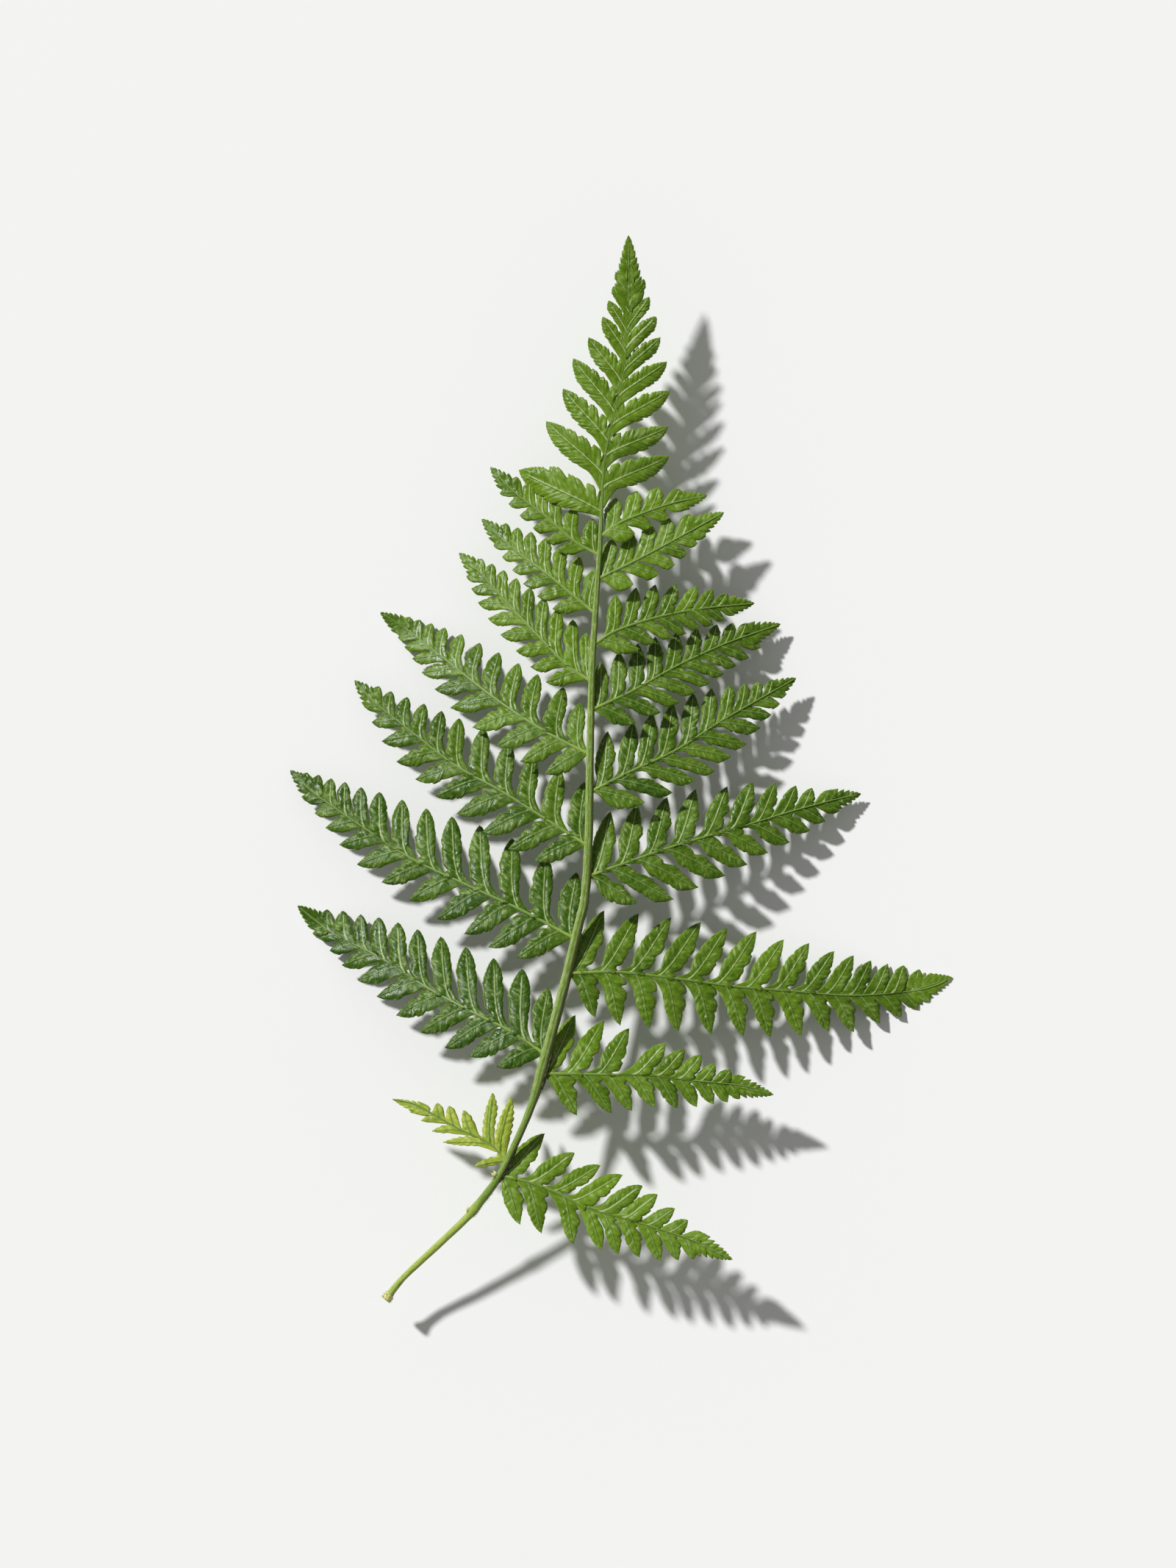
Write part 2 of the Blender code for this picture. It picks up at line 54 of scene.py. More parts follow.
def smoothLine(route, root=None, samples=241):
    # a rounded line through the route's points, sampled evenly along its length
    knots = np.array([placeAt(p) for p in route])
    if root is not None:
        knots[0] = root
    padded = np.vstack([2 * knots[0] - knots[1], knots, 2 * knots[-1] - knots[-2]])
    t = np.linspace(0, 1, 24, endpoint=False)[:, None]
    fine = []
    for k in range(1, len(padded) - 2):
        a, b, c, d = padded[k - 1:k + 3]
        fine.append(0.5 * (2 * b + (c - a) * t + (2 * a - 5 * b + 4 * c - d) * t**2
                           + (3 * b - a - 3 * c + d) * t**3))
    fine = np.vstack(fine + [knots[-1:]])
    run = np.concatenate([[0], np.cumsum(np.linalg.norm(np.diff(fine, axis=0), axis=1))])
    even = np.linspace(0, run[-1], samples)
    return np.column_stack([np.interp(even, run, fine[:, k]) for k in (0, 1)])


def onLine(line, share):
    stations = np.linspace(0, 1, len(line))
    return np.stack([np.interp(share, stations, line[:, k]) for k in (0, 1)], axis=-1)


def heading(line, share):
    step = onLine(line, np.minimum(share + 0.015, 1)) - onLine(line, np.maximum(share - 0.015, 0))
    return step / np.linalg.norm(step, axis=-1, keepdims=True)


def besideLine(line, points):
    # the share along the line nearest to each point, and how far left of the line the point is
    gaps = np.linalg.norm(points[:, None, :] - line[None, :, :], axis=2)
    nearest = gaps.argmin(axis=1)
    share = nearest / (len(line) - 1)
    along, off = heading(line, share), points - line[nearest]
    return share, along[:, 0] * off[:, 1] - along[:, 1] * off[:, 0]


def smoothStep(low, high, value):
    x = np.clip((value - low) / (high - low), 0, 1)
    return x * x * (3 - 2 * x)


def addGrid(name, across, along):
    bpy.ops.object.select_all(action="DESELECT")
    bpy.ops.mesh.primitive_grid_add(x_subdivisions=across - 1, y_subdivisions=along - 1, size=2)
    grid = bpy.context.object
    grid.name = name
    grid.data.uv_layers[0].name = "leafMap"
    return grid


def meshPlaces(piece):
    places = np.empty(len(piece.data.vertices) * 3)
    piece.data.vertices.foreach_get("co", places)
    return places.reshape(-1, 3)


def gridPlaces(grid):
    # u from -1 to 1 across, t from 0 to 1 along
    places = meshPlaces(grid)
    return places[:, 0].copy(), (places[:, 1] + 1) / 2


def setPlaces(piece, x, y, z):
    places = np.column_stack([x, y, z]) * mm
    piece.data.vertices.foreach_set("co", places.ravel())
    piece.data.update()


def setMap(piece, u, v):
    corners = np.empty(len(piece.data.loops), np.int32)
    piece.data.loops.foreach_get("vertex_index", corners)
    spots = np.column_stack([u, v])[corners].astype(np.float32)
    piece.data.uv_layers["leafMap"].data.foreach_set("uv", spots.ravel())


def setData(piece, *values):
    layer = piece.data.attributes.new("leafData", "FLOAT_COLOR", "POINT")
    count = len(piece.data.vertices)
    values = np.column_stack([np.broadcast_to(x, count) for x in values]).astype(np.float32)
    layer.data.foreach_set("color", values.ravel())


def copyPiece(master):
    copy = master.copy()
    copy.data = master.data.copy()
    bpy.context.scene.collection.objects.link(copy)
    return copy


def joinPieces(pieces, name):
    bpy.ops.object.select_all(action="DESELECT")
    for piece in pieces:
        piece.select_set(True)
    bpy.context.view_layer.objects.active = pieces[0]
    bpy.ops.object.join()
    joined = bpy.context.object
    joined.name = joined.data.name = name
    return joined


def cleanMesh(weld, fill=False):
    # welds what the active piece was made from, closes its ends and turns its normals out
    bpy.ops.object.mode_set(mode="EDIT")
    bpy.ops.mesh.select_all(action="SELECT")
    bpy.ops.mesh.remove_doubles(threshold=weld)
    if fill:
        bpy.ops.mesh.fill_holes(sides=0)
    bpy.ops.mesh.normals_make_consistent(inside=False)
    bpy.ops.object.mode_set(mode="OBJECT")


def finishPiece(piece, material, node):
    piece.data.materials.clear()
    piece.data.materials.append(material)
    for face in piece.data.polygons:
        face.use_smooth = True
    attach(piece, "root")
    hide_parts(node)


# Materials read the piece's own map, which is side to side and base to tip on a leaflet and round and along
# on a rib or the stalk. Leaflets also carry data: tone, length / 20 mm, half width / 5 mm and midvein.
class Shader:
    def __init__(self, name):
        self.material = bpy.data.materials.new(name)
        self.material.use_nodes = True
        self.tree = self.material.node_tree
        self.surface = self.tree.nodes["Principled BSDF"]

    def add(self, kind, **values):
        node = self.tree.nodes.new(kind)
        for key, value in values.items():
            setattr(node, key, value)
        return node

    def plug(self, value, socket):
        if hasattr(value, "is_output"):
            self.tree.links.new(value, socket)
        else:
            socket.default_value = value

    def sum(self, operation, a, b=0.0, c=0.0):
        node = self.add("ShaderNodeMath", operation=operation)
        for value, socket in zip((a, b, c), node.inputs):
            self.plug(value, socket)
        return node.outputs[0]

    def times(self, a, b, plus=0.0):
        return self.sum("MULTIPLY_ADD", a, b, plus)

    def step(self, value, low, high, start=0.0, end=1.0):
        node = self.add("ShaderNodeMapRange", interpolation_type="SMOOTHSTEP")
        for number, given in enumerate((value, low, high, start, end)):
            self.plug(given, node.inputs[number])
        return node.outputs[0]

    def blend(self, amount, a, b):
        node = self.add("ShaderNodeMix", data_type="RGBA")
        for number, given in ((0, amount), (6, a), (7, b)):
            self.plug(given, node.inputs[number])
        return node.outputs[2]

    def noise(self, vector, scale, detail=2.0, roughness=0.5):
        node = self.add("ShaderNodeTexNoise")
        self.plug(vector, node.inputs["Vector"])
        for key, value in (("Scale", scale), ("Detail", detail), ("Roughness", roughness)):
            node.inputs[key].default_value = value
        return node.outputs["Fac"]

    def scaled(self, vector, size):
        node = self.add("ShaderNodeMapping")
        self.plug(vector, node.inputs["Vector"])
        node.inputs["Scale"].default_value = size
        return node.outputs["Vector"]

    def bump(self, height, distance, strength=1.0, under=None):
        node = self.add("ShaderNodeBump")
        node.inputs["Strength"].default_value = strength
        node.inputs["Distance"].default_value = distance
        self.plug(height, node.inputs["Height"])
        if under is not None:
            self.plug(under, node.inputs["Normal"])
        return node.outputs["Normal"]

    def spot(self):
        return self.add("ShaderNodeTexCoord").outputs["Object"]

    def leafMap(self):
        whole = self.add("ShaderNodeUVMap", uv_map="leafMap").outputs[0]
        parts = self.add("ShaderNodeSeparateXYZ")
        self.plug(whole, parts.inputs[0])
        return whole, parts.outputs[0], parts.outputs[1]

    def finish(self, colour, roughness, normal):
        for value, key in ((colour, "Base Color"), (roughness, "Roughness"), (normal, "Normal")):
            self.plug(value, self.surface.inputs[key])
        return self.material


leafColours = {
    "dark": (0.021, 0.066, 0.0003, 1), "light": (0.143, 0.256, 0.009, 1), "paintedSheen": (0.200, 0.290, 0.050, 1),
    "paintedHighlight": (0.255, 0.345, 0.120, 1), "midvein": (0.40, 0.49, 0.20, 1),
    "sideVeinsAndShade": (0.050, 0.112, 0.006, 1), "margin": (0.24, 0.35, 0.05, 1),
    "roughness": (0.27, 0.48), "specular": 0.27,
}
youngColours = {
    "dark": (0.16, 0.24, 0.012, 1), "light": (0.40, 0.46, 0.045, 1), "paintedSheen": (0.46, 0.50, 0.07, 1),
    "paintedHighlight": (0.50, 0.56, 0.16, 1), "midvein": (0.09, 0.19, 0.02, 1), "sideVeinsAndShade": (0.17, 0.29, 0.025, 1),
    "margin": (0.52, 0.54, 0.12, 1), "roughness": (0.42, 0.62), "specular": 0.34,
}
veinPitch = 1.15  # mm between side veins


def leafMaterial(name, colours):
    s = Shader(name)
    _, across, along = s.leafMap()
    data = s.add("ShaderNodeAttribute", attribute_name="leafData").outputs
    parts = s.add("ShaderNodeSeparateColor")
    s.plug(data["Color"], parts.inputs[0])
    tone, size, width = parts.outputs
    middle = data["Alpha"]  # midvein: 0 faint, below the rib, 0.5 clear, above it, 1 faint, at the end
    away = s.sum("ABSOLUTE", s.times(across, 2.0, -1.0))
    offMiddle = s.times(away, s.times(width, 5.0))  # mm
    veinRun = s.times(along, s.times(size, 20.0 / veinPitch))
    veinWave = s.sum("ABSOLUTE", s.sum("SINE", s.times(veinRun, math.pi)))
    patches = s.noise(s.spot(), 260.0, 3.0)
    fine = s.noise(s.spot(), 1500.0, 3.0, 0.6)
    streakPlace = s.add("ShaderNodeCombineXYZ")
    shifted = s.times(tone, 91.0, s.times(across, 2.5))  # other streaks on each leaflet
    for value, socket in zip((s.times(offMiddle, 0.55), s.times(veinRun, 1.7), shifted), streakPlace.inputs):
        s.plug(value, socket)
    streaks = s.noise(streakPlace.outputs[0], 1.0, 3.0, 0.62)

    body = s.sum("ADD", s.times(patches, 0.60, -0.30), tone)
    # the streak pattern also lightens the body colour, part of the painted highlight along the side veins
    body = s.sum("ADD", s.times(streaks, 0.90, -0.45), body)
    colour = s.blend(s.step(body, 0.0, 1.0), colours["dark"], colours["light"])
    # painted sheen: a fine speckle of pale green stands in for the leaf's soft gloss
    colour = s.blend(s.times(s.step(fine, 0.48, 0.74), 0.42), colour, colours["paintedSheen"])
    # painted highlight: pale streaks along the side veins stand in for the leaf's gloss
    paintedHighlightStreaks = s.times(s.step(streaks, 0.54, 0.66), s.step(patches, 0.40, 0.60))
    colour = s.blend(s.times(paintedHighlightStreaks, 0.75), colour, colours["paintedHighlight"])
    colour = s.blend(s.times(s.step(veinWave, 0.30, 0.0), 0.35), colour, colours["sideVeinsAndShade"])
    colour = s.blend(s.times(s.step(away, 0.88, 0.99), 0.60), colour, colours["margin"])
    fading = s.step(along, 0.95, 0.80)
    strong = s.times(s.step(middle, 0.0, 0.5), 0.58, 0.28)
    strong = s.times(strong, s.step(middle, 1.0, 0.6, 0.35, 1.0))
    veinEdge = s.times(along, -0.06, 0.135)
    vein = s.times(s.times(s.step(offMiddle, veinEdge, s.times(veinEdge, 0.55)), fading), strong)
    # painted shade: the grooves beside the midvein are darkened with the side vein colour
    bed = s.times(s.step(offMiddle, 0.38, 0.20), s.times(fading, 0.35))
    colour = s.blend(bed, colour, colours["sideVeinsAndShade"])
    colour = s.blend(vein, colour, colours["midvein"])
    folds = s.bump(streaks, 0.00022, 0.7, s.bump(veinWave, 0.00004, 0.6))
    s.surface.inputs["Specular IOR Level"].default_value = colours["specular"]
    roughness = s.step(patches, 0.35, 0.65, *colours["roughness"])
    return s.finish(colour, roughness, s.bump(fine, 0.00005, 0.5, folds))


stalkColours = {
    "low": (0.290, 0.385, 0.045, 1), "mid": (0.140, 0.245, 0.016, 1), "top": (0.115, 0.220, 0.018, 1),
    "silverAndHighlight": (0.38, 0.45, 0.19, 1), "brown": (0.066, 0.078, 0.008, 1), "dark": (0.050, 0.100, 0.008, 1),
    "cut": (0.56, 0.54, 0.20, 1),
}


def stalkMaterial():
    s = Shader("stalk skin")
    whole, around, along = s.leafMap()
    fibres = s.noise(s.scaled(whole, (17.0, 130.0, 1.0)), 1.0, 4.0, 0.6)
    scales = s.noise(s.spot(), 1300.0, 3.0, 0.6)
    lower = s.blend(s.step(along, 0.108, 0.130), stalkColours["low"], stalkColours["mid"])
    colour = s.blend(s.step(along, 0.55, 0.85), lower, stalkColours["top"])
    colour = s.blend(s.times(s.step(fibres, 0.50, 0.30), 0.60), colour, stalkColours["dark"])
    silverRun = s.times(s.step(along, 0.19, 0.30), s.step(along, 0.85, 0.70))
    silverAndHighlight = s.times(s.step(fibres, 0.48, 0.66), s.times(silverRun, 0.40, 0.15))
    colour = s.blend(silverAndHighlight, colour, stalkColours["silverAndHighlight"])
    # the left edge is silvery, from pale scales and a painted highlight on the side the key light falls on,
    # and the right side is darkened with painted shade above the lowest pinna
    litLeftEdge = s.times(s.step(around, 0.42, 0.30), s.times(scales, 1.2, 0.1))
    colour = s.blend(s.times(litLeftEdge, s.times(silverRun, 0.55, 0.25)), colour, stalkColours["silverAndHighlight"])
    colour = s.blend(s.times(s.step(scales, 0.55, 0.75), 0.28), colour, stalkColours["silverAndHighlight"])
    # painted shade: the right side, turned away from the key light, is darkened towards brown above the
    # lowest pinna
    darkRun = s.times(s.step(along, 0.13, 0.16), s.step(along, 0.70, 0.30, 0.35, 1.0))
    shaded = s.times(s.step(around, 0.46, 0.56), darkRun)
    colour = s.blend(s.times(shaded, 0.85), colour, stalkColours["brown"])
    colour = s.blend(s.step(along, 0.0075, 0.005), colour, stalkColours["cut"])
    normal = s.bump(scales, 0.00012, 0.8, s.bump(fibres, 0.00010, 0.7))
    return s.finish(colour, s.step(scales, 0.3, 0.7, 0.38, 0.62), normal)


ribColours = {
    "root": (0.28, 0.40, 0.04, 1), "mid": (0.135, 0.235, 0.03, 1), "tip": (0.11, 0.20, 0.02, 1),
    "groove": (0.055, 0.12, 0.01, 1), "ridge": (0.26, 0.37, 0.10, 1), "roughness": 0.42,
}


def ribMaterial():
    s = Shader("rib skin")
    _, around, along = s.leafMap()
    colour = s.blend(s.step(along, 0.03, 0.12), ribColours["root"], ribColours["mid"])
    colour = s.blend(s.step(along, 0.45, 0.95), colour, ribColours["tip"])
    offTop = s.sum("ABSOLUTE", s.sum("SUBTRACT", around, 0.5))
    ridge = s.times(s.step(offTop, 0.035, 0.08), s.step(offTop, 0.20, 0.12))
    colour = s.blend(s.times(ridge, 0.7), colour, ribColours["ridge"])
    # painted shade: a dark line along the groove on top of the rib
    colour = s.blend(s.times(s.step(offTop, 0.05, 0.015), 0.45), colour, ribColours["groove"])
    return s.finish(colour, ribColours["roughness"], s.bump(s.noise(s.spot(), 1400.0, 3.0), 0.00006, 0.7))


def plainMaterial(name, colour, shade, roughness, scale, depth=0.00006):
    s = Shader(name)
    grain = s.noise(s.spot(), scale, 3.0)
    return s.finish(s.blend(s.step(grain, 0.35, 0.65), shade, colour), roughness, s.bump(grain, depth))


def outlineTable(knots):
    # a rounded curve through (share, width) knots
    even = np.linspace(0, 1, 161)
    raw = np.interp(even, [k[0] for k in knots], [k[1] for k in knots])
    weights = np.hanning(9)[1:-1]
    return even, np.convolve(np.pad(raw, 3, mode="edge"), weights / weights.sum(), mode="valid")


def leafletForm(base, near=None, far=None, **changes):
    # a form like the base, with the half widths from foot to tip on the rachis side (near) and the far side
    form = dict(base, **changes)
    for side, knots in (("near", near), ("far", far)):
        if knots:
            form[side] = outlineTable(knots)
    return form


# Lengths in mm, notches between lobes as share of the length, depth and half width
leafBase = {
    "thickness": 0.26,
    "wing": 0.50, "wingNear": 1.5, "wingFar": 0.8,  # how far the blade is joined to the rib and the next
    "nearWidth": (0.085, 0.65), "farWidth": (0.120, 1.38),  # share of the length, and mm more
    "crowdNear": 0.42, "crowdFar": 0.55,  # the most that a half width takes of the way to the next leaflet
    "lean": math.radians(38), "sweep": 0.70, "fullLength": 8,
    "notches": {"near": [(0.40, 0.14, 0.035), (0.64, 0.11, 0.03)],
                "far": [(0.32, 0.42, 0.04), (0.58, 0.16, 0.035)]},
    "pitch": veinPitch, "depth": 0.055, "toothRun": 1.0, "toothFrom": (0.10, 0.30), "toothLength": 6,
    "roundTeeth": False,
    "puff": 0.055, "crinkle": 0.035, "roll": 0.42, "rollWidth": 1.6, "keel": 0.20,
    "midvein": 0.12, "midveinWidth": 0.10, "bed": 0.06, "bedAt": 0.34, "bedWidth": 0.16,
    "clear": 0.02, "soft": 0.3,  # above the floor, and how softly the blade meets that height
}
leafForm = leafletForm(
    leafBase,
    near=[(0, 0.42), (0.1, 0.46), (0.2, 0.62), (0.32, 0.84), (0.44, 0.98), (0.56, 1.04), (0.7, 0.98),
        (0.82, 0.76), (0.91, 0.48), (0.97, 0.26), (1, 0.0)],
    far=[(0, 0.95), (0.1, 1.06), (0.24, 1.14), (0.38, 1.06), (0.5, 0.96), (0.64, 0.84), (0.77, 0.66),
        (0.88, 0.42), (0.95, 0.22), (1, 0.0)])
ovalForm = leafletForm(
    leafForm,
    near=[(0, 0.24), (0.07, 0.3), (0.15, 0.58), (0.25, 0.9), (0.36, 1.06), (0.48, 1.04), (0.61, 0.93),
        (0.75, 0.72), (0.87, 0.43), (0.95, 0.2), (1, 0.0)],
    far=[(0, 0.86), (0.08, 0.98), (0.2, 1.12), (0.34, 1.1), (0.48, 1.0), (0.62, 0.84), (0.76, 0.58),
        (0.88, 0.32), (1, 0.0)],
    notches={"near": [(0.45, 0.10, 0.03), (0.68, 0.08, 0.03)],
             "far": [(0.25, 0.46, 0.032), (0.50, 0.20, 0.03), (0.69, 0.12, 0.025)]},
    nearWidth=(0.09, 1.05), farWidth=(0.10, 1.35), crowdNear=0.49, crowdFar=0.49,
    sweep=0.42, wing=0.40, wingNear=0.8, wingFar=0.5)
lowNear = [(0, 0.52), (0.1, 0.68), (0.24, 0.96), (0.38, 1.08), (0.52, 1.06), (0.66, 0.9), (0.8, 0.62),
    (0.91, 0.33), (1, 0.0)]
lowForm = leafletForm(
    leafForm,
    near=lowNear,
    far=[(0, 0.85), (0.08, 0.85), (0.18, 0.98), (0.28, 1.14), (0.38, 1.2), (0.48, 1.08), (0.6, 0.86),
        (0.73, 0.58), (0.86, 0.3), (1, 0.0)],
    notches={"near": [(0.44, 0.12, 0.035), (0.66, 0.10, 0.03)],
             "far": [(0.22, 0.14, 0.03), (0.47, 0.30, 0.04), (0.68, 0.14, 0.03)]},
    nearWidth=(0.15, 1.12), farWidth=(0.08, 0.85), crowdNear=0.55, crowdFar=0.42, sweep=0.35, keel=0.05)
lowForms = {
    "plain": lowForm,
    "full": leafletForm(lowForm, nearWidth=(0.08, 0.85), farWidth=(0.11, 1.50),
                        crowdNear=0.42, crowdFar=0.58),
    "narrow": leafletForm(
        lowForm,
        near=[(0, 0.16), (0.08, 0.2), (0.18, 0.48), (0.3, 0.9), (0.42, 1.08), (0.55, 1.06), (0.68, 0.9),
            (0.81, 0.62), (0.91, 0.33), (1, 0.0)],
        wing=0.35, wingNear=0.5),
}
noNotches = {"near": [], "far": []}
youngBelow = leafletForm(
    leafForm,
    near=lowNear,
    far=[(0, 0.72), (0.08, 0.78), (0.2, 0.98), (0.36, 1.0), (0.54, 0.94), (0.7, 0.76), (0.86, 0.42),
        (1, 0.0)],
    notches=noNotches, nearWidth=(0.02, 0.60), farWidth=(0.05, 0.86), sweep=0.45, depth=0.20, pitch=1.4,
    roundTeeth=True, keel=0.05)
youngAbove = leafletForm(youngBelow, nearWidth=(0.05, 1.12), farWidth=(0.05, 0.74), keel=0.20)
endKnots = [(0, 0.4), (0.1, 0.84), (0.22, 1.0), (0.36, 0.9), (0.52, 0.74), (0.7, 0.52), (0.86, 0.29),
    (0.95, 0.13), (1, 0.0)]
endForm = leafletForm(
    leafForm, near=endKnots, far=endKnots,
    notches=noNotches, nearWidth=(0.24, 0.75), farWidth=(0.24, 0.75), sweep=0.0, depth=0.36, pitch=1.25,
    toothRun=1.4, toothFrom=(0.02, 0.16))
youngEnd = leafletForm(endForm, nearWidth=(0.14, 0.35), farWidth=(0.14, 0.35))
topEndForm = leafletForm(endForm, nearWidth=(0.13, 1.25), farWidth=(0.13, 1.25), pitch=1.45, depth=0.22,
                         toothRun=1.0, toothFrom=(0.10, 0.30))
segmentForm = leafletForm(
    leafForm,
    near=[(0, 0.4), (0.1, 0.54), (0.24, 0.82), (0.42, 1.04), (0.58, 1.04), (0.72, 0.9), (0.86, 0.56),
        (0.94, 0.3), (1, 0.0)],
    far=[(0, 0.9), (0.06, 1.02), (0.16, 1.12), (0.3, 1.1), (0.42, 1.02), (0.56, 0.9), (0.7, 0.72),
        (0.85, 0.42), (0.94, 0.2), (1, 0.0)],
    notches={"near": [(0.34, 0.12, 0.02), (0.50, 0.12, 0.02), (0.66, 0.12, 0.02)],
             "far": [(0.215, 0.44, 0.024), (0.41, 0.30, 0.024), (0.585, 0.24, 0.022), (0.74, 0.16, 0.02)]},
    nearWidth=(0.120, 0.80), farWidth=(0.165, 0.45), crowdNear=0.45, crowdFar=0.54, wing=1.05, wingNear=0.55,
    wingFar=0.35, sweep=0.12, lean=math.radians(44), pitch=0.95, depth=0.09, puff=0.05, keel=0.10)


def makeMasters(grids):
    # the flat grids that every leaflet is copied from, with more rows near the foot and the midvein
    masters = []
    for name, (least, across, along) in grids.items():
        master = addGrid("master_" + name, across, along)
        u, t = gridPlaces(master)
        u, t = np.sign(u) * np.abs(u)**1.25, t**1.2
        setMap(master, u * 0.5 + 0.5, t)
        masters.append({"least": least, "object": master, "u": u, "t": t})
    return masters


# By the shortest leaflet in mm that uses each grid: points across and along
leafGrids = makeMasters(
    {"large": (9.0, 17, 52), "middle": (5.0, 13, 34), "small": (2.6, 9, 20), "tiny": (0.0, 7, 12)})
segmentGrids = makeMasters({"segmentLarge": (6.0, 21, 84), "segmentSmall": (0.0, 13, 40)})


def leafletAxis(leaf, along, sweep, t):
    # a curve that leaves the rib along it, sweeps out, and may hook forward at the tip
    footHandle, tipHandle, hookPull = 0.30, 0.28, 3  # shares of the length, and how hard the tip hooks
    base, tip = leaf["base"], leaf["tip"]
    length = np.linalg.norm(tip - base)
    straight = (tip - base) / length
    start = along * sweep + straight
    start /= np.linalg.norm(start)
    end = straight + along * leaf["hook"] * hookPull
    end /= np.linalg.norm(end)
    first, second = base + start * length * footHandle, tip - end * length * tipHandle
    t = t[:, None]
    axis = base * (1 - t)**3 + 3 * first * t * (1 - t)**2 + 3 * second * t**2 * (1 - t) + tip * t**3
    slope = 3 * (first - base) * (1 - t)**2 + 6 * (second - first) * t * (1 - t) + 3 * (tip - second) * t**2
    return axis, slope / np.linalg.norm(slope, axis=1, keepdims=True)


leanRounds = 8
veinShift = 0.15  # the skin is highest this share of a pitch past the middle between two side veins


def leafletOutline(u, t, line, leaf, before, after, form):
    # seen from above: places, half widths, the run of the teeth, and how free of the rib each place is
    along = heading(line, leaf["share"])
    reach = leaf["tip"] - leaf["base"]
    length = leaf["length"]
    axis, slope = leafletAxis(leaf, along, form["sweep"], t)
    left = np.column_stack([-slope[:, 1], slope[:, 0]])
    across = along[0] * reach[1] - along[1] * reach[0]
    nearSide = left if leaf["kind"] == endRow or across > 0 else -left
    near = u >= 0

    nearMost = (form["nearWidth"][0] * length + form["nearWidth"][1]) * leaf["wider"]
    farMost = (form["farWidth"][0] * length + form["farWidth"][1]) * leaf["wider"] * leaf["farMore"]
    forward = math.tan(form["lean"]) * min(1.0, length / form["fullLength"]) * smoothStep(0.0, 0.2, t)
    half = np.zeros_like(t)
    for _ in range(leanRounds):
        # the rows lean forward with the side veins, so each edge takes its width from further along
        reached = np.minimum(1, t + half * forward / length)
        wanted = np.where(near, nearMost * np.interp(reached, *form["near"]),
                          farMost * np.interp(reached, *form["far"]))
        half = (half + wanted) / 2 if half.any() else wanted * 0.5
    for other, chosen, crowding in ((before, near, form["crowdNear"]), (after, ~near, form["crowdFar"])):
        if other is not None:
            samples = leafletAxis(other, along, form["sweep"], np.linspace(0, 1, 25))[0]
            gap = np.linalg.norm(axis[chosen][:, None, :] - samples[None, :, :], axis=2).min(axis=1)
            half[chosen] = np.minimum(half[chosen], crowding * gap)
    for side, chosen in (("near", near), ("far", ~near)):
        for at, deep, wide in form["notches"][side]:
            cut = deep * leaf["lobed"] * np.exp(-((reached[chosen] - at - leaf["shift"]) / wide)**2)
            half[chosen] = half[chosen] * (1 - cut)
    run = t**form["toothRun"] * length / form["pitch"] + leaf["phase"]
    tooth = 0.5 + 0.5 * np.cos(run * 2 * math.pi) if form["roundTeeth"] else (1 - run + np.floor(run))**2
    depth = form["depth"] * min(1, length / form["toothLength"]) * smoothStep(*form["toothFrom"], t)
    half = half * (1 - depth * smoothStep(1.0, 0.85, t) * tooth)
    out = nearSide * np.where(near, 1, -1)[:, None] + slope * forward[:, None]
    blade = axis + (np.abs(u) * half)[:, None] * out

    footReach = np.where(near, leaf["shareNear"], leaf["shareFar"])
    foot = onLine(line, np.clip(leaf["share"] - u * footReach, 0, 1)) + axis - leaf["base"]
    fusedFrom, fusedMost = leaf["fused"]
    wing = max(form["wing"] / abs(across), fusedMost * max(0.0, leaf["share"] - fusedFrom) / (1 - fusedFrom))
    freed = wing + np.where(near, form["wingNear"], form["wingFar"]) / length
    body = np.ones_like(t) if leaf["kind"] == endRow else smoothStep(wing * 0.6, freed, t)
    mixed = body[:, None]
    return foot * (1 - mixed) + blade * mixed, half, run, body


def shapeLeaflet(piece, grid, line, leaf, before, after, form, heightAt):
    # bends one copy of the grid to its leaflet: outline, veins and the puffed skin between them
    u, t = grid["u"], grid["t"]
    flat, half, run, body = leafletOutline(u, t, line, leaf, before, after, form)
    length = leaf["length"]
    out = np.abs(u)
    offMiddle = out * half

    z = heightAt(flat)
    z = z + body * form["keel"] * offMiddle * (1 - 0.3 * out)
    z = z - body * form["roll"] * out**4 * np.minimum(half, form["rollWidth"]) / form["rollWidth"]
    between = np.abs(np.sin(math.pi * (run - veinShift)))**0.8 * (1 - out**5) * smoothStep(0.0, 0.25, out)
    z = z + leaf["puff"] * form["puff"] * between * body * np.minimum(1, half)
    for wave in leaf["waves"]:
        z = z + form["crinkle"] * np.sin(flat[:, 0] * wave[0] + flat[:, 1] * wave[1] + wave[2]) * body
    ridge = form["midvein"] * np.exp(-(offMiddle / form["midveinWidth"])**2)
    beds = form["bed"] * np.exp(-((offMiddle - form["bedAt"]) / form["bedWidth"])**2)
    shown = smoothStep(0.0, 0.1, t) * smoothStep(1.0, 0.8, t) * min(1.0, length / form["fullLength"])
    z = z + (ridge - beds) * shown
    # a leaflet rises to its layer, and the fused end starts below the others and ends above them
    raised = smoothStep(0.1, 0.4, t) * 2 - 1 if leaf["kind"] == endRow else smoothStep(0.1, 0.3, t)
    layer = leaf["layer"] * raised
    z = z + leaf["twist"] * u * half * body + leaf["dip"] * t**2 * length + layer
    lowest = form["thickness"] + form["clear"] + np.maximum(layer, 0)
    z = lowest + np.logaddexp(0, np.clip((z - lowest) / form["soft"], -30, 60)) * form["soft"]
    setPlaces(piece, flat[:, 0], flat[:, 1], z)
    setData(piece, leaf["tone"], length / 20, np.maximum(half, 0.05) / 5, leaf["middle"])


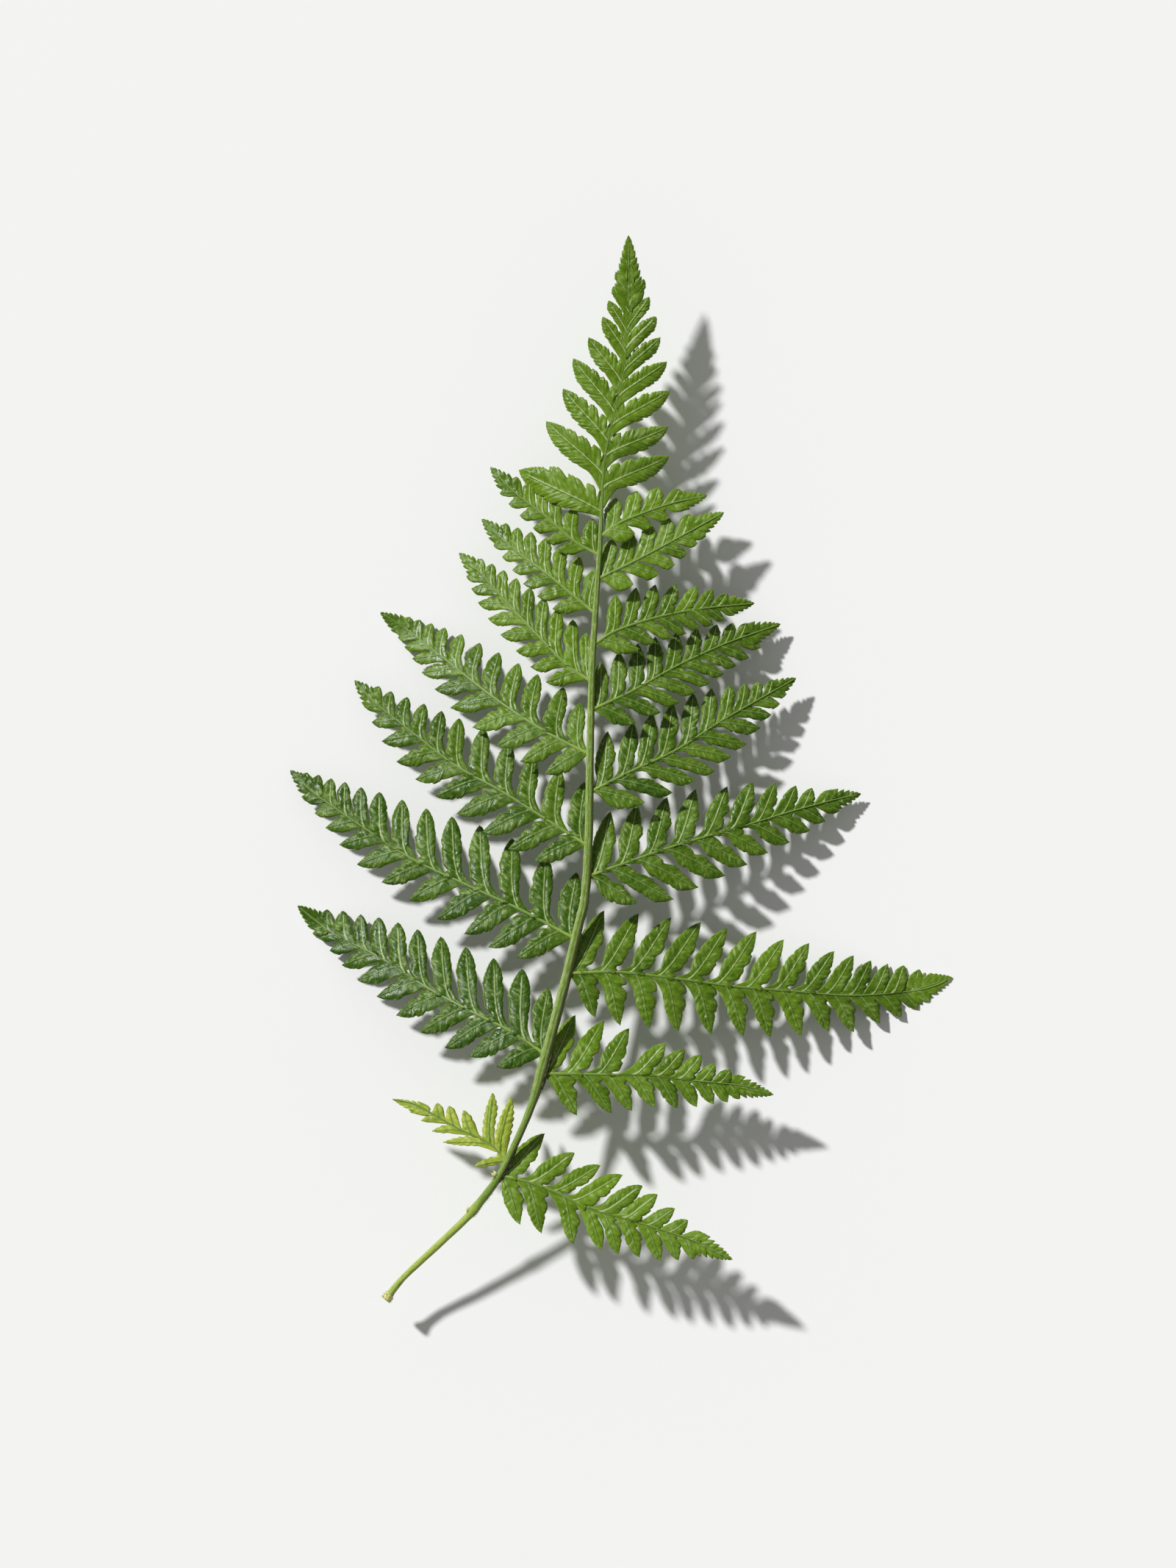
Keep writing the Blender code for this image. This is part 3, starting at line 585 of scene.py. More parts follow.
# Spread of what is drawn for each leaflet, waves in mm of crinkle
variety = {
    "twist": 0.07, "dip": 0.018, "tone": 0.07, "lobed": (0.75, 1.2), "shift": 0.02, "puff": (0.7, 1.3),
    "waves": 3, "waveSize": (2.4, 4.6), "layer": 0.02, "endLayer": 0.06,
}


def drawLeaf(leaf, order, lively, look):
    # gives a leaflet its own twist, tone, lobes and crinkles
    atEnd = leaf["kind"] == endRow
    leaf["length"] = np.linalg.norm(leaf["tip"] - leaf["base"])
    leaf["twist"] = draw.normal(0, variety["twist"]) * lively
    leaf["dip"] = draw.normal(0, variety["dip"]) * lively
    leaf["tone"] = look["tone"] + draw.normal(0, variety["tone"])
    leaf["layer"] = variety["endLayer"] if atEnd else variety["layer"] * (order % 3)
    leaf["fused"] = look["fused"]
    leaf["wider"] = look["endWider"] if atEnd else look["wider"]
    leaf["middle"] = {belowRow: 0.0, aboveRow: look["veins"], endRow: 1.0}[leaf["kind"]]
    leaf["phase"] = draw.random()
    leaf["lobed"] = draw.uniform(*variety["lobed"])
    leaf["shift"] = draw.normal(0, variety["shift"])
    leaf["puff"] = draw.uniform(*variety["puff"])
    turns = draw.uniform(0, 2 * math.pi, variety["waves"])
    sizes = draw.uniform(*variety["waveSize"], variety["waves"])
    starts = draw.uniform(0, 6, variety["waves"])
    leaf["waves"] = [(math.cos(a) * w, math.sin(a) * w, b) for a, w, b in zip(turns, sizes, starts)]


def makeBlade(name, line, sides, forms, grids, heightAt, lively, look):
    # all leaflets of one pinna as one piece
    pieces = []
    for leaves in sides:
        for order, leaf in enumerate(leaves):
            drawLeaf(leaf, order, lively, look)
        for before, leaf, after in zip([None] + leaves[:-1], leaves, leaves[1:] + [None]):
            grid = next(grid for grid in grids if leaf["length"] >= grid["least"])
            pieces.append(copyPiece(grid["object"]))
            shapeLeaflet(pieces[-1], grid, line, leaf, before, after, forms[leaf["kind"]], heightAt)
    blade = joinPieces(pieces, name)
    cleanMesh(weld=0.000001)
    if sum(face.normal.z for face in blade.data.polygons) < 0:
        blade.data.flip_normals()
    wall = blade.modifiers.new("thickness", "SOLIDIFY")
    wall.thickness = leafForm["thickness"] * mm
    wall.offset = -1
    bpy.ops.object.modifier_apply(modifier=wall.name)
    return blade


def listLeaves(line, tips, shares, kind, hook):
    leaves = []
    for k, (tip, share) in enumerate(zip(tips, shares)):
        nearGap = share - shares[k - 1] if k else min(0.08, share) * 2
        farGap = shares[k + 1] - share if k + 1 < len(shares) else (1 - share) * 1.2
        leaves.append({"base": onLine(line, share), "tip": tip, "share": share, "kind": kind, "hook": hook,
                       "shareNear": nearGap / 2, "shareFar": farGap / 2, "farMore": 1.0})
    return leaves


def endLeaf(line, share):
    return {"base": onLine(line, share), "tip": line[-1], "share": share, "kind": endRow, "hook": 0.0,
            "shareNear": 0.0, "shareFar": 0.0, "farMore": 1.0}


def leafletShares(line, tips, slants):
    # where each leaflet leaves the rib: back from its tip at the slant, partly evened out along the rib
    evened, own, lowest, highest = 0.55, 0.45, 0.012, 0.97
    shares = np.linspace(0.0, 0.98, 197)
    along, spots = heading(line, shares), onLine(line, shares)
    found = []
    for tip in tips:
        reach = tip - spots
        lean = np.degrees(np.arccos(np.clip((along * reach).sum(1) / np.linalg.norm(reach, axis=1), -1, 1)))
        found.append(shares[np.abs(lean - slants[0] - (slants[1] - slants[0]) * shares).argmin()])
    order = np.arange(len(found))
    even = np.polyval(np.polyfit(order, found, 3 if len(found) > 6 else 1), order)
    return np.clip(even * evened + np.array(found) * own, lowest, highest)


def makeTube(name, centre, heights, radii, around, section):
    # a grid rolled round a line, with its seam underneath
    tube = addGrid(name, around + 1, len(centre))
    u, t = gridPlaces(tube)
    turn = u * math.pi  # 0 is the top
    at = t * (len(centre) - 1)
    stations = np.arange(len(centre))
    slopes = np.gradient(np.column_stack([centre, heights]), axis=0)
    slopes /= np.linalg.norm(slopes, axis=1, keepdims=True)
    sideways = np.column_stack([slopes[:, 1], -slopes[:, 0]])
    sideways /= np.linalg.norm(sideways, axis=1, keepdims=True)
    x, y, z, sideX, sideY, radius = [
        np.interp(at, stations, row) for row in (centre[:, 0], centre[:, 1], heights, *sideways.T, radii)]
    radius = radius * section(turn, t)
    setPlaces(tube, x + sideX * np.sin(turn) * radius, y + sideY * np.sin(turn) * radius,
              z + np.cos(turn) * radius)
    setMap(tube, u * 0.5 + 0.5, t)
    cleanMesh(weld=0.000002, fill=True)
    return tube


stalkForm = {
    "route": [(524, 1769.5), (548.3, 1739.3), (590.3, 1699.3), (632.3, 1659.3), (649.5, 1639.5), (679, 1600),
        (699, 1560), (717, 1520), (731, 1480), (747, 1420), (768, 1340), (787, 1260), (796, 1220),
        (801, 1140), (803, 1020), (806, 905), (812, 808), (817, 730), (820, 657), (825, 611), (841, 541),
        (850, 500), (853, 458), (857, 400), (855, 322)],
    # share of the length from the cut end, width and height of the middle in mm
    "profile": [(0.0, 2.0, 8.0), (0.004, 2.05, 8.1), (0.009, 1.45, 8.3), (0.025, 1.25, 9.0),
        (0.06, 1.38, 11.1), (0.09, 1.45, 12.6), (0.105, 1.55, 13.4), (0.112, 1.95, 13.8), (0.122, 1.68, 14.5),
        (0.15, 1.55, 16.6), (0.17, 1.4, 16.9), (0.205, 1.42, 17.2), (0.222, 1.6, 17.2), (0.238, 2.05, 17.1),
        (0.25, 2.35, 17.1), (0.275, 2.1, 17.0), (0.4, 1.85, 16.2), (0.555, 1.5, 15.0), (0.68, 1.15, 14.0),
        (0.74, 0.85, 13.7), (0.79, 0.66, 13.4), (0.86, 0.52, 14.4), (0.92, 0.42, 15.4), (1.0, 0.16, 18.2)],
    "around": 36, "rings": 520, "end": 0.99,
    # shares of the radius, and radians
    "groove": 0.20, "grooveWidth": 0.30, "grooveFrom": (0.10, 0.25),
    "sideGroove": 0.10, "sideGrooveAt": 1.05, "sideGrooveWidth": 0.22,
    "flutes": 7, "fluteDepth": 0.014, "fluteSway": 0.8, "fluteWaves": 60,
    "ripples": 2, "rippleDepth": 0.020, "rippleWaves": 260,
}
stalkLine = smoothLine(stalkForm["route"], samples=481)
stalkShares, stalkWidths, stalkHeights = zip(*stalkForm["profile"])


def stalkWidth(share):
    return np.interp(share, stalkShares, stalkWidths)


def stalkHeight(share):
    return np.interp(share, stalkShares, stalkHeights)


ribForm = {
    "around": 12, "rings": 120, "end": 0.985, "rootRadius": 0.33, "tipRadius": 0.11, "taper": 0.8,
    "lift": 0.11, "sunk": 0.35, "endLift": 0.10, "endLiftRun": (0.60, 0.85),
    "groove": 0.18, "grooveWidth": 0.30, "grooveFade": (0.80, 0.50),
}
greenLeaf = leafMaterial("green leaf", leafColours)
youngLeaf = leafMaterial("young leaf", youngColours)
ribSkin = ribMaterial()


def makeRib(name, line, heightAt):
    shares = np.linspace(0, ribForm["end"], ribForm["rings"])
    centre = onLine(line, shares)
    thinner = ribForm["tipRadius"] - ribForm["rootRadius"]
    radii = ribForm["rootRadius"] + thinner * shares**ribForm["taper"]
    lift = ribForm["lift"] + ribForm["endLift"] * smoothStep(*ribForm["endLiftRun"], shares)
    heights = np.maximum(heightAt(centre), leafForm["thickness"]) + lift - radii * ribForm["sunk"]

    def section(turn, t):
        groove = ribForm["groove"] * smoothStep(*ribForm["grooveFade"], t)
        return 1 - groove * np.exp(-(turn / ribForm["grooveWidth"])**2)

    return makeTube(name, centre, heights, radii, ribForm["around"], section)


# Slants are degrees between leaflets and rib, at its root and its end, first above it and then below it.
# Leaflets shorter than "least" become teeth of the end. "fused" is where blades start to join, and how far.
usualPinna = {
    "tilt": math.tan(math.radians(15)), "droop": 0.012, "bend": 1.35, "hook": 0.0, "fused": (0.58, 0.56),
    "low": "plain", "veins": 0.5, "wider": 1.0, "endWider": 1.0, "least": 2.6,
}
pinnae = {
    "right_1": {
        "rib": [(684, 1601), (720, 1607), (760, 1622), (800, 1642), (860, 1659), (920, 1678), (960, 1693),
            (996, 1712)],
        "above": [(741, 1542), (781, 1569), (817, 1585), (847, 1598), (873, 1613), (894, 1625), (918, 1643),
            (936, 1659), (956, 1676), (970, 1690)],
        "below": [(708, 1664), (737, 1676), (780, 1691), (819, 1699), (842, 1705), (870, 1709), (899, 1714),
            (923, 1713), (944, 1712)],
        "endWider": 0.84, "slant": ((53, 46), (56, 46)), "tipHeight": 17.6, "hook": 0.05, "tone": 0.74,
        "low": "full",
    },
    "right_2": {
        "rib": [(748, 1463), (820, 1461), (884, 1462), (940, 1469), (1000, 1475), (1030, 1481), (1052, 1489)],
        "above": [(783, 1381), (822, 1389), (856, 1399), (905, 1420), (931, 1428), (954, 1436), (973, 1447),
            (993, 1456), (1010, 1467)],
        "below": [(785, 1516), (832, 1513), (860, 1510), (891, 1505), (922, 1507), (948, 1505), (971, 1501),
            (990, 1499), (1006, 1495)],
        "endWider": 0.82, "slant": ((54, 52), (58, 46)), "tipHeight": 13.0, "hook": 0.04, "tone": 0.6,
        "low": "full",
    },
    "right_3": {
        "rib": [(781, 1325), (840, 1322), (920, 1331), (1000, 1342), (1080, 1349), (1160, 1355), (1240, 1350),
            (1275, 1342), (1298, 1331)],
        "above": [(822, 1239), (869, 1243), (913, 1249), (954, 1255), (990, 1263), (1030, 1268), (1067, 1279),
            (1102, 1284), (1136, 1295), (1163, 1301), (1187, 1308), (1210, 1313), (1232, 1315), (1253, 1320),
            (1273, 1326)],
        "below": [(810, 1383), (844, 1394), (884, 1398), (923, 1404), (968, 1407), (1012, 1409), (1049, 1411),
            (1091, 1410), (1129, 1404), (1163, 1405), (1199, 1393), (1229, 1385), (1252, 1374), (1267, 1364),
            (1281, 1352)],
        "endWider": 1.12, "slant": ((58, 60), (74, 50)), "tipHeight": -2.4, "hook": 0.03, "tone": 0.52,
        "low": "full",
    },
    "right_4": {
        "rib": [(806, 1192), (845, 1176), (920, 1150), (1000, 1127), (1080, 1103), (1140, 1087),
            (1173, 1080)],
        "above": [(831, 1104), (868, 1094), (908, 1084), (947, 1074), (990, 1070), (1024, 1065), (1056, 1065),
            (1084, 1069), (1106, 1072), (1130, 1075)],
        "below": [(867, 1228), (916, 1223), (950, 1207), (987, 1191), (1017, 1176), (1045, 1160),
            (1075, 1146), (1103, 1130), (1124, 1117), (1144, 1103)],
        "slant": ((56, 43), (45, 40)), "tipHeight": 2.2, "hook": 0.02, "tone": 0.42, "low": "narrow",
    },
    "right_5": {
        "rib": [(808, 1078), (861, 1048), (920, 1020), (981, 981), (1040, 947), (1084, 922)],
        "above": [(827, 995), (862, 983), (888, 970), (916, 956), (944, 942), (969, 936), (995, 931),
            (1015, 929), (1033, 926), (1052, 924)],
        "below": [(877, 1091), (915, 1078), (946, 1061), (973, 1049), (995, 1029), (1016, 1012), (1035, 990),
            (1050, 972), (1062, 957), (1071, 944)],
        "slant": ((55, 42), (39, 40)), "tipHeight": 4.6, "tone": 0.4, "low": "narrow",
    },
    "right_6": {
        "rib": [(809, 967), (860, 940), (920, 906), (980, 878), (1020, 863), (1063, 848)],
        "above": [(818, 900), (843, 886), (868, 875), (892, 866), (921, 860), (949, 854), (976, 849),
            (998, 847), (1016, 847), (1034, 847)],
        "below": [(865, 983), (899, 969), (924, 956), (947, 941), (966, 929), (985, 917), (1003, 905),
            (1020, 894), (1036, 880)],
        "slant": ((62, 40), (48, 42)), "tipHeight": 3.2, "tone": 0.42,
    },
    "right_7": {
        "rib": [(814, 876), (841, 857), (900, 838), (960, 827), (1027, 820)],
        "above": [(838, 808), (866, 799), (892, 795), (920, 794), (948, 797), (970, 801), (990, 807)],
        "below": [(870, 883), (892, 874), (915, 867), (934, 862), (952, 855), (970, 849), (986, 843),
            (1000, 836)],
        "slant": ((60, 42), (48, 40)), "tipHeight": 6.5, "tone": 0.5, "fused": (0.4, 0.66),
    },
    "right_8": {
        "rib": [(819, 789), (860, 765), (920, 733), (985, 697)],
        "above": [(834, 733), (860, 724), (887, 714), (911, 705), (938, 699)],
        "below": [(862, 795), (896, 781), (918, 768), (935, 753), (949, 739), (961, 727), (971, 716)],
        "slant": ((48, 40), (44, 42)), "tipHeight": 11.6, "tone": 0.6, "fused": (0.0, 0.85), "wider": 1.38,
    },
    "right_9": {
        "rib": [(819, 729), (840, 713), (880, 696), (920, 683), (962, 674)],
        "above": [(838, 677), (867, 668), (897, 663), (925, 665)],
        "below": [(863, 726), (888, 716), (910, 705), (932, 693)],
        "slant": ((50, 40), (46, 40)), "tipHeight": 11.0, "tone": 0.66, "fused": (0.0, 0.85), "wider": 1.38,
    },
    "left_5": {
        "rib": [(740, 1434), (700, 1405), (640, 1375), (580, 1343), (520, 1305), (458, 1274), (428, 1254),
            (403, 1233)],
        "above": [(745, 1344), (710, 1320), (671, 1304), (633, 1289), (599, 1275), (567, 1265), (540, 1257),
            (514, 1250), (489, 1245), (465, 1241), (443, 1238), (421, 1235)],
        "below": [(676, 1450), (638, 1436), (605, 1425), (571, 1404), (539, 1381), (512, 1356), (486, 1334),
            (464, 1314), (447, 1294), (433, 1277), (422, 1262), (412, 1249)],
        "slant": ((54, 50), (62, 42)), "tipHeight": -2.4, "tone": 0.2, "veins": 0.3,
    },
    "left_6": {
        "rib": [(770, 1274), (708, 1237), (636, 1204), (560, 1168), (493, 1125), (426, 1079), (408, 1062),
            (393, 1048)],
        "above": [(784, 1187), (742, 1164), (696, 1140), (652, 1123), (614, 1111), (579, 1100), (546, 1088),
            (515, 1079), (490, 1071), (468, 1064), (449, 1059), (432, 1054), (416, 1051), (403, 1048)],
        "below": [(703, 1302), (665, 1288), (632, 1270), (595, 1250), (556, 1224), (519, 1200), (485, 1176),
            (461, 1149), (442, 1126), (427, 1106), (415, 1089), (407, 1073), (400, 1060)],
        "slant": ((60, 50), (62, 42)), "tipHeight": 1.6, "tone": 0.24, "veins": 0.3,
    },
    "left_7": {
        "rib": [(797, 1152), (741, 1113), (682, 1076), (621, 1042), (567, 1001), (516, 961), (496, 943),
            (481, 925)],
        "above": [(795, 1064), (761, 1047), (725, 1029), (692, 1009), (657, 990), (624, 977), (600, 967),
            (576, 957), (553, 948), (531, 940), (514, 933), (498, 928)],
        "below": [(727, 1170), (691, 1155), (655, 1133), (621, 1107), (592, 1083), (565, 1060), (539, 1036),
            (519, 1008), (505, 982), (495, 960), (487, 942)],
        "slant": ((60, 56), (60, 42)), "tipHeight": 2.2, "tone": 0.35, "veins": 0.3,
    },
    "left_8": {
        "rib": [(800, 1028), (742, 995), (675, 951), (601, 893), (551, 854), (516, 832)],
        "above": [(789, 956), (766, 935), (731, 917), (705, 902), (678, 887), (652, 874), (627, 862),
            (604, 853), (586, 847), (570, 842), (556, 838), (544, 834), (530, 832)],
        "below": [(741, 1052), (708, 1036), (675, 1014), (643, 989), (613, 962), (591, 937), (573, 914),
            (560, 895), (549, 879), (540, 866), (530, 852)],
        "slant": ((66, 58), (58, 40)), "tipHeight": -2.4, "tone": 0.5, "veins": 0.3,
    },
    "left_9": {
        "rib": [(801, 929), (772, 905), (724, 856), (675, 803), (650, 775), (624, 751)],
        "above": [(797, 861), (779, 843), (759, 828), (740, 813), (721, 799), (702, 786), (685, 775),
            (669, 766), (654, 759), (641, 754)],
        "below": [(743, 928), (722, 907), (702, 885), (681, 863), (664, 841), (650, 819), (641, 800),
            (634, 783), (628, 768)],
        "slant": ((50, 40), (56, 40)), "tipHeight": 3.6, "tone": 0.6, "fused": (0.45, 0.62),
    },
    "left_10": {
        "rib": [(808, 835), (780, 810), (740, 777), (701, 748), (655, 705)],
        "above": [(810, 774), (788, 757), (765, 742), (743, 731), (722, 723), (704, 717), (688, 711),
            (672, 706)],
        "below": [(752, 828), (731, 811), (712, 794), (697, 775), (683, 757), (671, 741), (661, 726)],
        "slant": ((58, 42), (58, 40)), "tipHeight": 5.5, "tone": 0.62, "fused": (0.25, 0.7), "wider": 1.05,
    },
    "left_11": {
        "rib": [(813, 757), (780, 735), (740, 700), (701, 670), (667, 635)],
        "above": [(806, 706), (781, 690), (758, 676), (739, 664), (720, 655), (702, 648), (685, 640)],
        "below": [(762, 749), (744, 735), (725, 718), (707, 701), (692, 685), (681, 669), (671, 653)],
        "slant": ((58, 42), (54, 40)), "tipHeight": 8.5, "tone": 0.64, "fused": (0.1, 0.74), "wider": 1.08,
    },
}
youngPinna = {
    "rib": [(690, 1581), (667, 1555), (627, 1536), (596, 1519), (565, 1502), (534, 1495)],
    "above": [(695, 1494), (670, 1488), (631, 1511), (611, 1505), (595, 1501), (578, 1499), (563, 1497),
        (551, 1496)],
    "below": [(645, 1585), (603, 1553), (588, 1538), (573, 1524), (558, 1513)],
    "slant": ((50, 50), (36, 42)), "tipHeight": 12.5, "rootHeight": 16.0, "tone": 0.5, "fused": (0.45, 0.6),
    "least": 1.5,
}


def makePinna(name, form, forms, root, rootHeight, skin, node):
    line = smoothLine(form["rib"], root)
    toRight = line[-1][0] > line[0][0]

    def heightAt(points):
        share, offset = besideLine(line, points)
        upward = offset if toRight else -offset
        sinking = (form["tipHeight"] - rootHeight) * share**form["bend"]
        return rootHeight + sinking - upward * form["tilt"] * (1 - share**2) - form["droop"] * offset**2

    sides = []
    slantAbove, slantBelow = form["slant"]
    for kind, tips, slants in ((belowRow, form["below"], slantBelow), (aboveRow, form["above"], slantAbove)):
        spots = [placeAt(tip) for tip in tips]
        leaves = listLeaves(line, spots, leafletShares(line, spots, slants), kind, form["hook"])
        sides.append([leaf for leaf in leaves if np.linalg.norm(leaf["tip"] - leaf["base"]) > form["least"]])
    endShare = min(0.88, (sides[0][-1]["share"] + sides[1][-1]["share"]) / 2 + 0.01)
    sides.append([endLeaf(line, endShare)])
    blade = makeBlade("leaflets_" + name, line, sides, forms, leafGrids, heightAt, 1.0, form)
    finishPiece(blade, skin, node)
    finishPiece(makeRib("rib_" + name, line, heightAt), ribSkin, node)


for name, form in pinnae.items():
    form = {**usualPinna, **form}
    forms = (lowForms[form["low"]], ovalForm if name.startswith("right") else leafForm, endForm)
    share = besideLine(stalkLine, placeAt(form["rib"][0])[None, :])[0][0]
    root = onLine(stalkLine, share)
    makePinna(name, form, forms, root, stalkHeight(share), greenLeaf, "frond")
print("green pinnae made:", len(pinnae))
makePinna("young", {**usualPinna, **youngPinna}, (youngBelow, youngAbove, youngEnd), None,
          youngPinna["rootHeight"], youngLeaf, "young_pinna")
print("young pinna made")

# Foot and tip of each segment on both sides of the lobed top, whose rib is the end of the rachis
topForm = {
    "rib": [(818, 706), (820, 657), (825, 611), (841, 541), (850, 500), (853, 458), (857, 400), (856, 360),
        (855, 322)],
    "left": [((815, 696), (706, 639)), ((819, 645), (743, 573)), ((824, 600), (766, 529)),
        ((834, 560), (780, 488)), ((845, 520), (801, 460)), ((848, 480), (820, 432)),
        ((853, 452), (828, 410)), ((856, 425), (834, 391)), ((857, 402), (838, 372))],
    "right": [((822, 662), (910, 621)), ((826, 620), (909, 581)), ((836, 579), (911, 532)),
        ((844, 540), (907, 493)), ((850, 504), (898, 460)), ((853, 473), (892, 432)),
        ((856, 446), (883, 405)), ((857, 415), (876, 381))],
    "lowestLeft": 1.45,  # how much wider the far side of the lowest left segment is
    "droop": 0.017, "above": 0.2, "hook": 0.03, "endShare": 0.745, "lively": 0.5,
    "tone": 0.66, "fused": (0.50, 0.60), "veins": 0.5, "wider": 1.0, "endWider": 1.0,
}


def makeTop():
    line = smoothLine(topForm["rib"])

    def heightAt(points):
        share, offset = besideLine(line, points)
        alongStalk = besideLine(stalkLine, onLine(line, share))[0]
        return stalkHeight(alongStalk) + topForm["above"] - topForm["droop"] * offset**2

    sides = []
    for pairs in (topForm["left"], topForm["right"]):
        feet, tips = (np.array([placeAt(point) for point in points]) for points in zip(*pairs))
        sides.append(listLeaves(line, tips, besideLine(line, feet)[0], aboveRow, topForm["hook"]))
    sides[0][0]["farMore"] = topForm["lowestLeft"]
    sides.append([endLeaf(line, topForm["endShare"])])
    blade = makeBlade("segments_top", line, sides, (None, segmentForm, topEndForm), segmentGrids, heightAt,
                      topForm["lively"], topForm)
    finishPiece(blade, greenLeaf, "frond")


makeTop()
print("top made")
for grid in leafGrids + segmentGrids:
    bpy.data.objects.remove(grid["object"])


def makeStalk():
    shares = np.linspace(0, stalkForm["end"], stalkForm["rings"])

    def section(turn, t):
        sway = np.sin(t * stalkForm["fluteWaves"]) * stalkForm["fluteSway"]
        flute = stalkForm["fluteDepth"] * np.sin(turn * stalkForm["flutes"] + sway)
        waves = turn * stalkForm["ripples"] + t * stalkForm["rippleWaves"]
        ripple = flute + stalkForm["rippleDepth"] * np.sin(waves)
        offTop = turn / stalkForm["grooveWidth"]
        offSide = (np.abs(turn) - stalkForm["sideGrooveAt"]) / stalkForm["sideGrooveWidth"]
        groove = stalkForm["groove"] * smoothStep(*stalkForm["grooveFrom"], t) * np.exp(-offTop**2)
        return 1 + ripple - groove - stalkForm["sideGroove"] * np.exp(-offSide**2)

    stalk = makeTube("stalk", onLine(stalkLine, shares), stalkHeight(shares), stalkWidth(shares) / 2,
                     stalkForm["around"], section)
    finishPiece(stalk, stalkMaterial(), "frond")


makeStalk()
print("stalk made")


def onStalk(share, turn, out):
    # a place on the skin of the stalk, and the ways outward and forward: turn runs from its top to its right
    forward = heading(stalkLine, np.asarray(share))
    side = np.array([forward[1], -forward[0]])
    radius = stalkWidth(share) / 2 + out
    outward = np.array([*(side * math.sin(turn)), math.cos(turn)])
    place = np.array([*onLine(stalkLine, share), stalkHeight(share)]) + outward * radius
    return place, outward, np.array([*forward, 0.0])


def makeSpikes(name, around, spikes, material):
    # hairs, scales and buds: one tapering spike is copied, and each copy is stretched along its own line
    bpy.ops.object.select_all(action="DESELECT")
    bpy.ops.mesh.primitive_cone_add(vertices=around, radius1=1, radius2=0.12, depth=1)
    master = bpy.context.object
    shape = meshPlaces(master)
    t = shape[:, 2] + 0.5
    pieces = []
    for root, point, radius, bulge in spikes:
        length = np.linalg.norm(point)
        forward = point / length
        side = np.cross(forward, (0.3, 0.5, 0.8))
        side /= np.linalg.norm(side)
        other = np.cross(forward, side)
        wide = radius * (1 + bulge * np.sin(math.pi * t))[:, None]
        ring = shape[:, :1] * side + shape[:, 1:2] * other
        places = root + np.outer(t * length, forward) + ring * wide
        pieces.append(copyPiece(master))
        setPlaces(pieces[-1], *places.T)
    bpy.data.objects.remove(master)
    finishPiece(joinPieces(pieces, name), material, "frond")


hairVariety = {"sunk": 0.04, "lean": 0.3, "stray": 0.2, "length": (0.6, 1.3), "radius": (0.8, 1.2)}
# Share from and to, way round and its spread in degrees, count, length, radius, lean forward and skin
hairForm = {
    "hairs_left_low": (0.165, 0.36, -80, 24, 330, 0.50, 0.018, 0.5, "pale"),
    "hairs_left_high": (0.36, 0.66, -82, 20, 260, 0.36, 0.015, 0.5, "pale"),
    "hairs_right": (0.26, 0.66, 82, 14, 330, 0.20, 0.026, 0.9, "brown"),
    "hairs_swelling": (0.108, 0.135, 85, 30, 46, 0.42, 0.028, 0.3, "brown"),
    "hairs_collar": (0.148, 0.160, 70, 40, 40, 0.45, 0.026, 0.2, "brown"),
    "crumbs": (0.0005, 0.006, 0, 180, 70, 0.30, 0.11, -0.2, "cut"),
}
hairSkins = {
    "pale": plainMaterial("pale hair", (0.74, 0.78, 0.62, 1), (0.58, 0.64, 0.44, 1), 0.6, 700),
    "brown": plainMaterial("brown hair", (0.12, 0.075, 0.02, 1), (0.07, 0.06, 0.012, 1), 0.7, 700),
    "cut": plainMaterial("cut end", (0.62, 0.60, 0.26, 1), (0.42, 0.36, 0.10, 1), 0.8, 900),
    "bud": plainMaterial("pale bud", (0.66, 0.68, 0.36, 1), (0.46, 0.52, 0.14, 1), 0.6, 900),
    "collar": plainMaterial(
        "dark scales and painted shade", (0.05, 0.06, 0.01, 1), (0.022, 0.03, 0.006, 1), 0.6, 1100, 0.00015),
}
for name, (low, high, turn, spread, count, length, radius, lean, skin) in hairForm.items():
    spikes = []
    for _ in range(count):
        angle = math.radians(turn + draw.uniform(-spread, spread))
        root, outward, forward = onStalk(draw.uniform(low, high), angle, -hairVariety["sunk"])
        leaning = lean + draw.normal(0, hairVariety["lean"])
        point = outward + forward * leaning + draw.normal(0, hairVariety["stray"], 3)
        point *= length * draw.uniform(*hairVariety["length"]) / np.linalg.norm(point)
        spikes.append((root, point, radius * draw.uniform(*hairVariety["radius"]), 0.0))
    makeSpikes(name, 3, spikes, hairSkins[skin])
print("hairs made")

budVariety = {"share": 0.0016, "sunk": 0.12, "lean": 0.55, "stray": 0.32, "length": (0.55, 1.1),
              "radius": (0.7, 1.15), "bulge": 0.5}
budForm = {
    "bud_low": {"share": 0.1085, "turn": -66, "scales": 3, "length": 1.5, "radius": 0.27},
    "bud_high": {"share": 0.1485, "turn": -72, "scales": 5, "length": 1.10, "radius": 0.42},
}
for name, form in budForm.items():
    spikes = []
    for _ in range(form["scales"]):
        share = form["share"] + draw.normal(0, budVariety["share"])
        root, outward, forward = onStalk(share, math.radians(form["turn"]), -budVariety["sunk"])
        point = outward + forward * budVariety["lean"] + draw.normal(0, budVariety["stray"], 3)
        point *= form["length"] * draw.uniform(*budVariety["length"]) / np.linalg.norm(point)
        radius = form["radius"] * draw.uniform(*budVariety["radius"])
        spikes.append((root, point, radius, budVariety["bulge"]))
    makeSpikes(name, 8, spikes, hairSkins["bud"])

collarVariety = {"count": 30, "spread": 20, "sunk": 0.15, "along": (1.2, 2.2), "out": (0.0, 0.3),
                 "radius": 0.42, "bulge": 0.9}
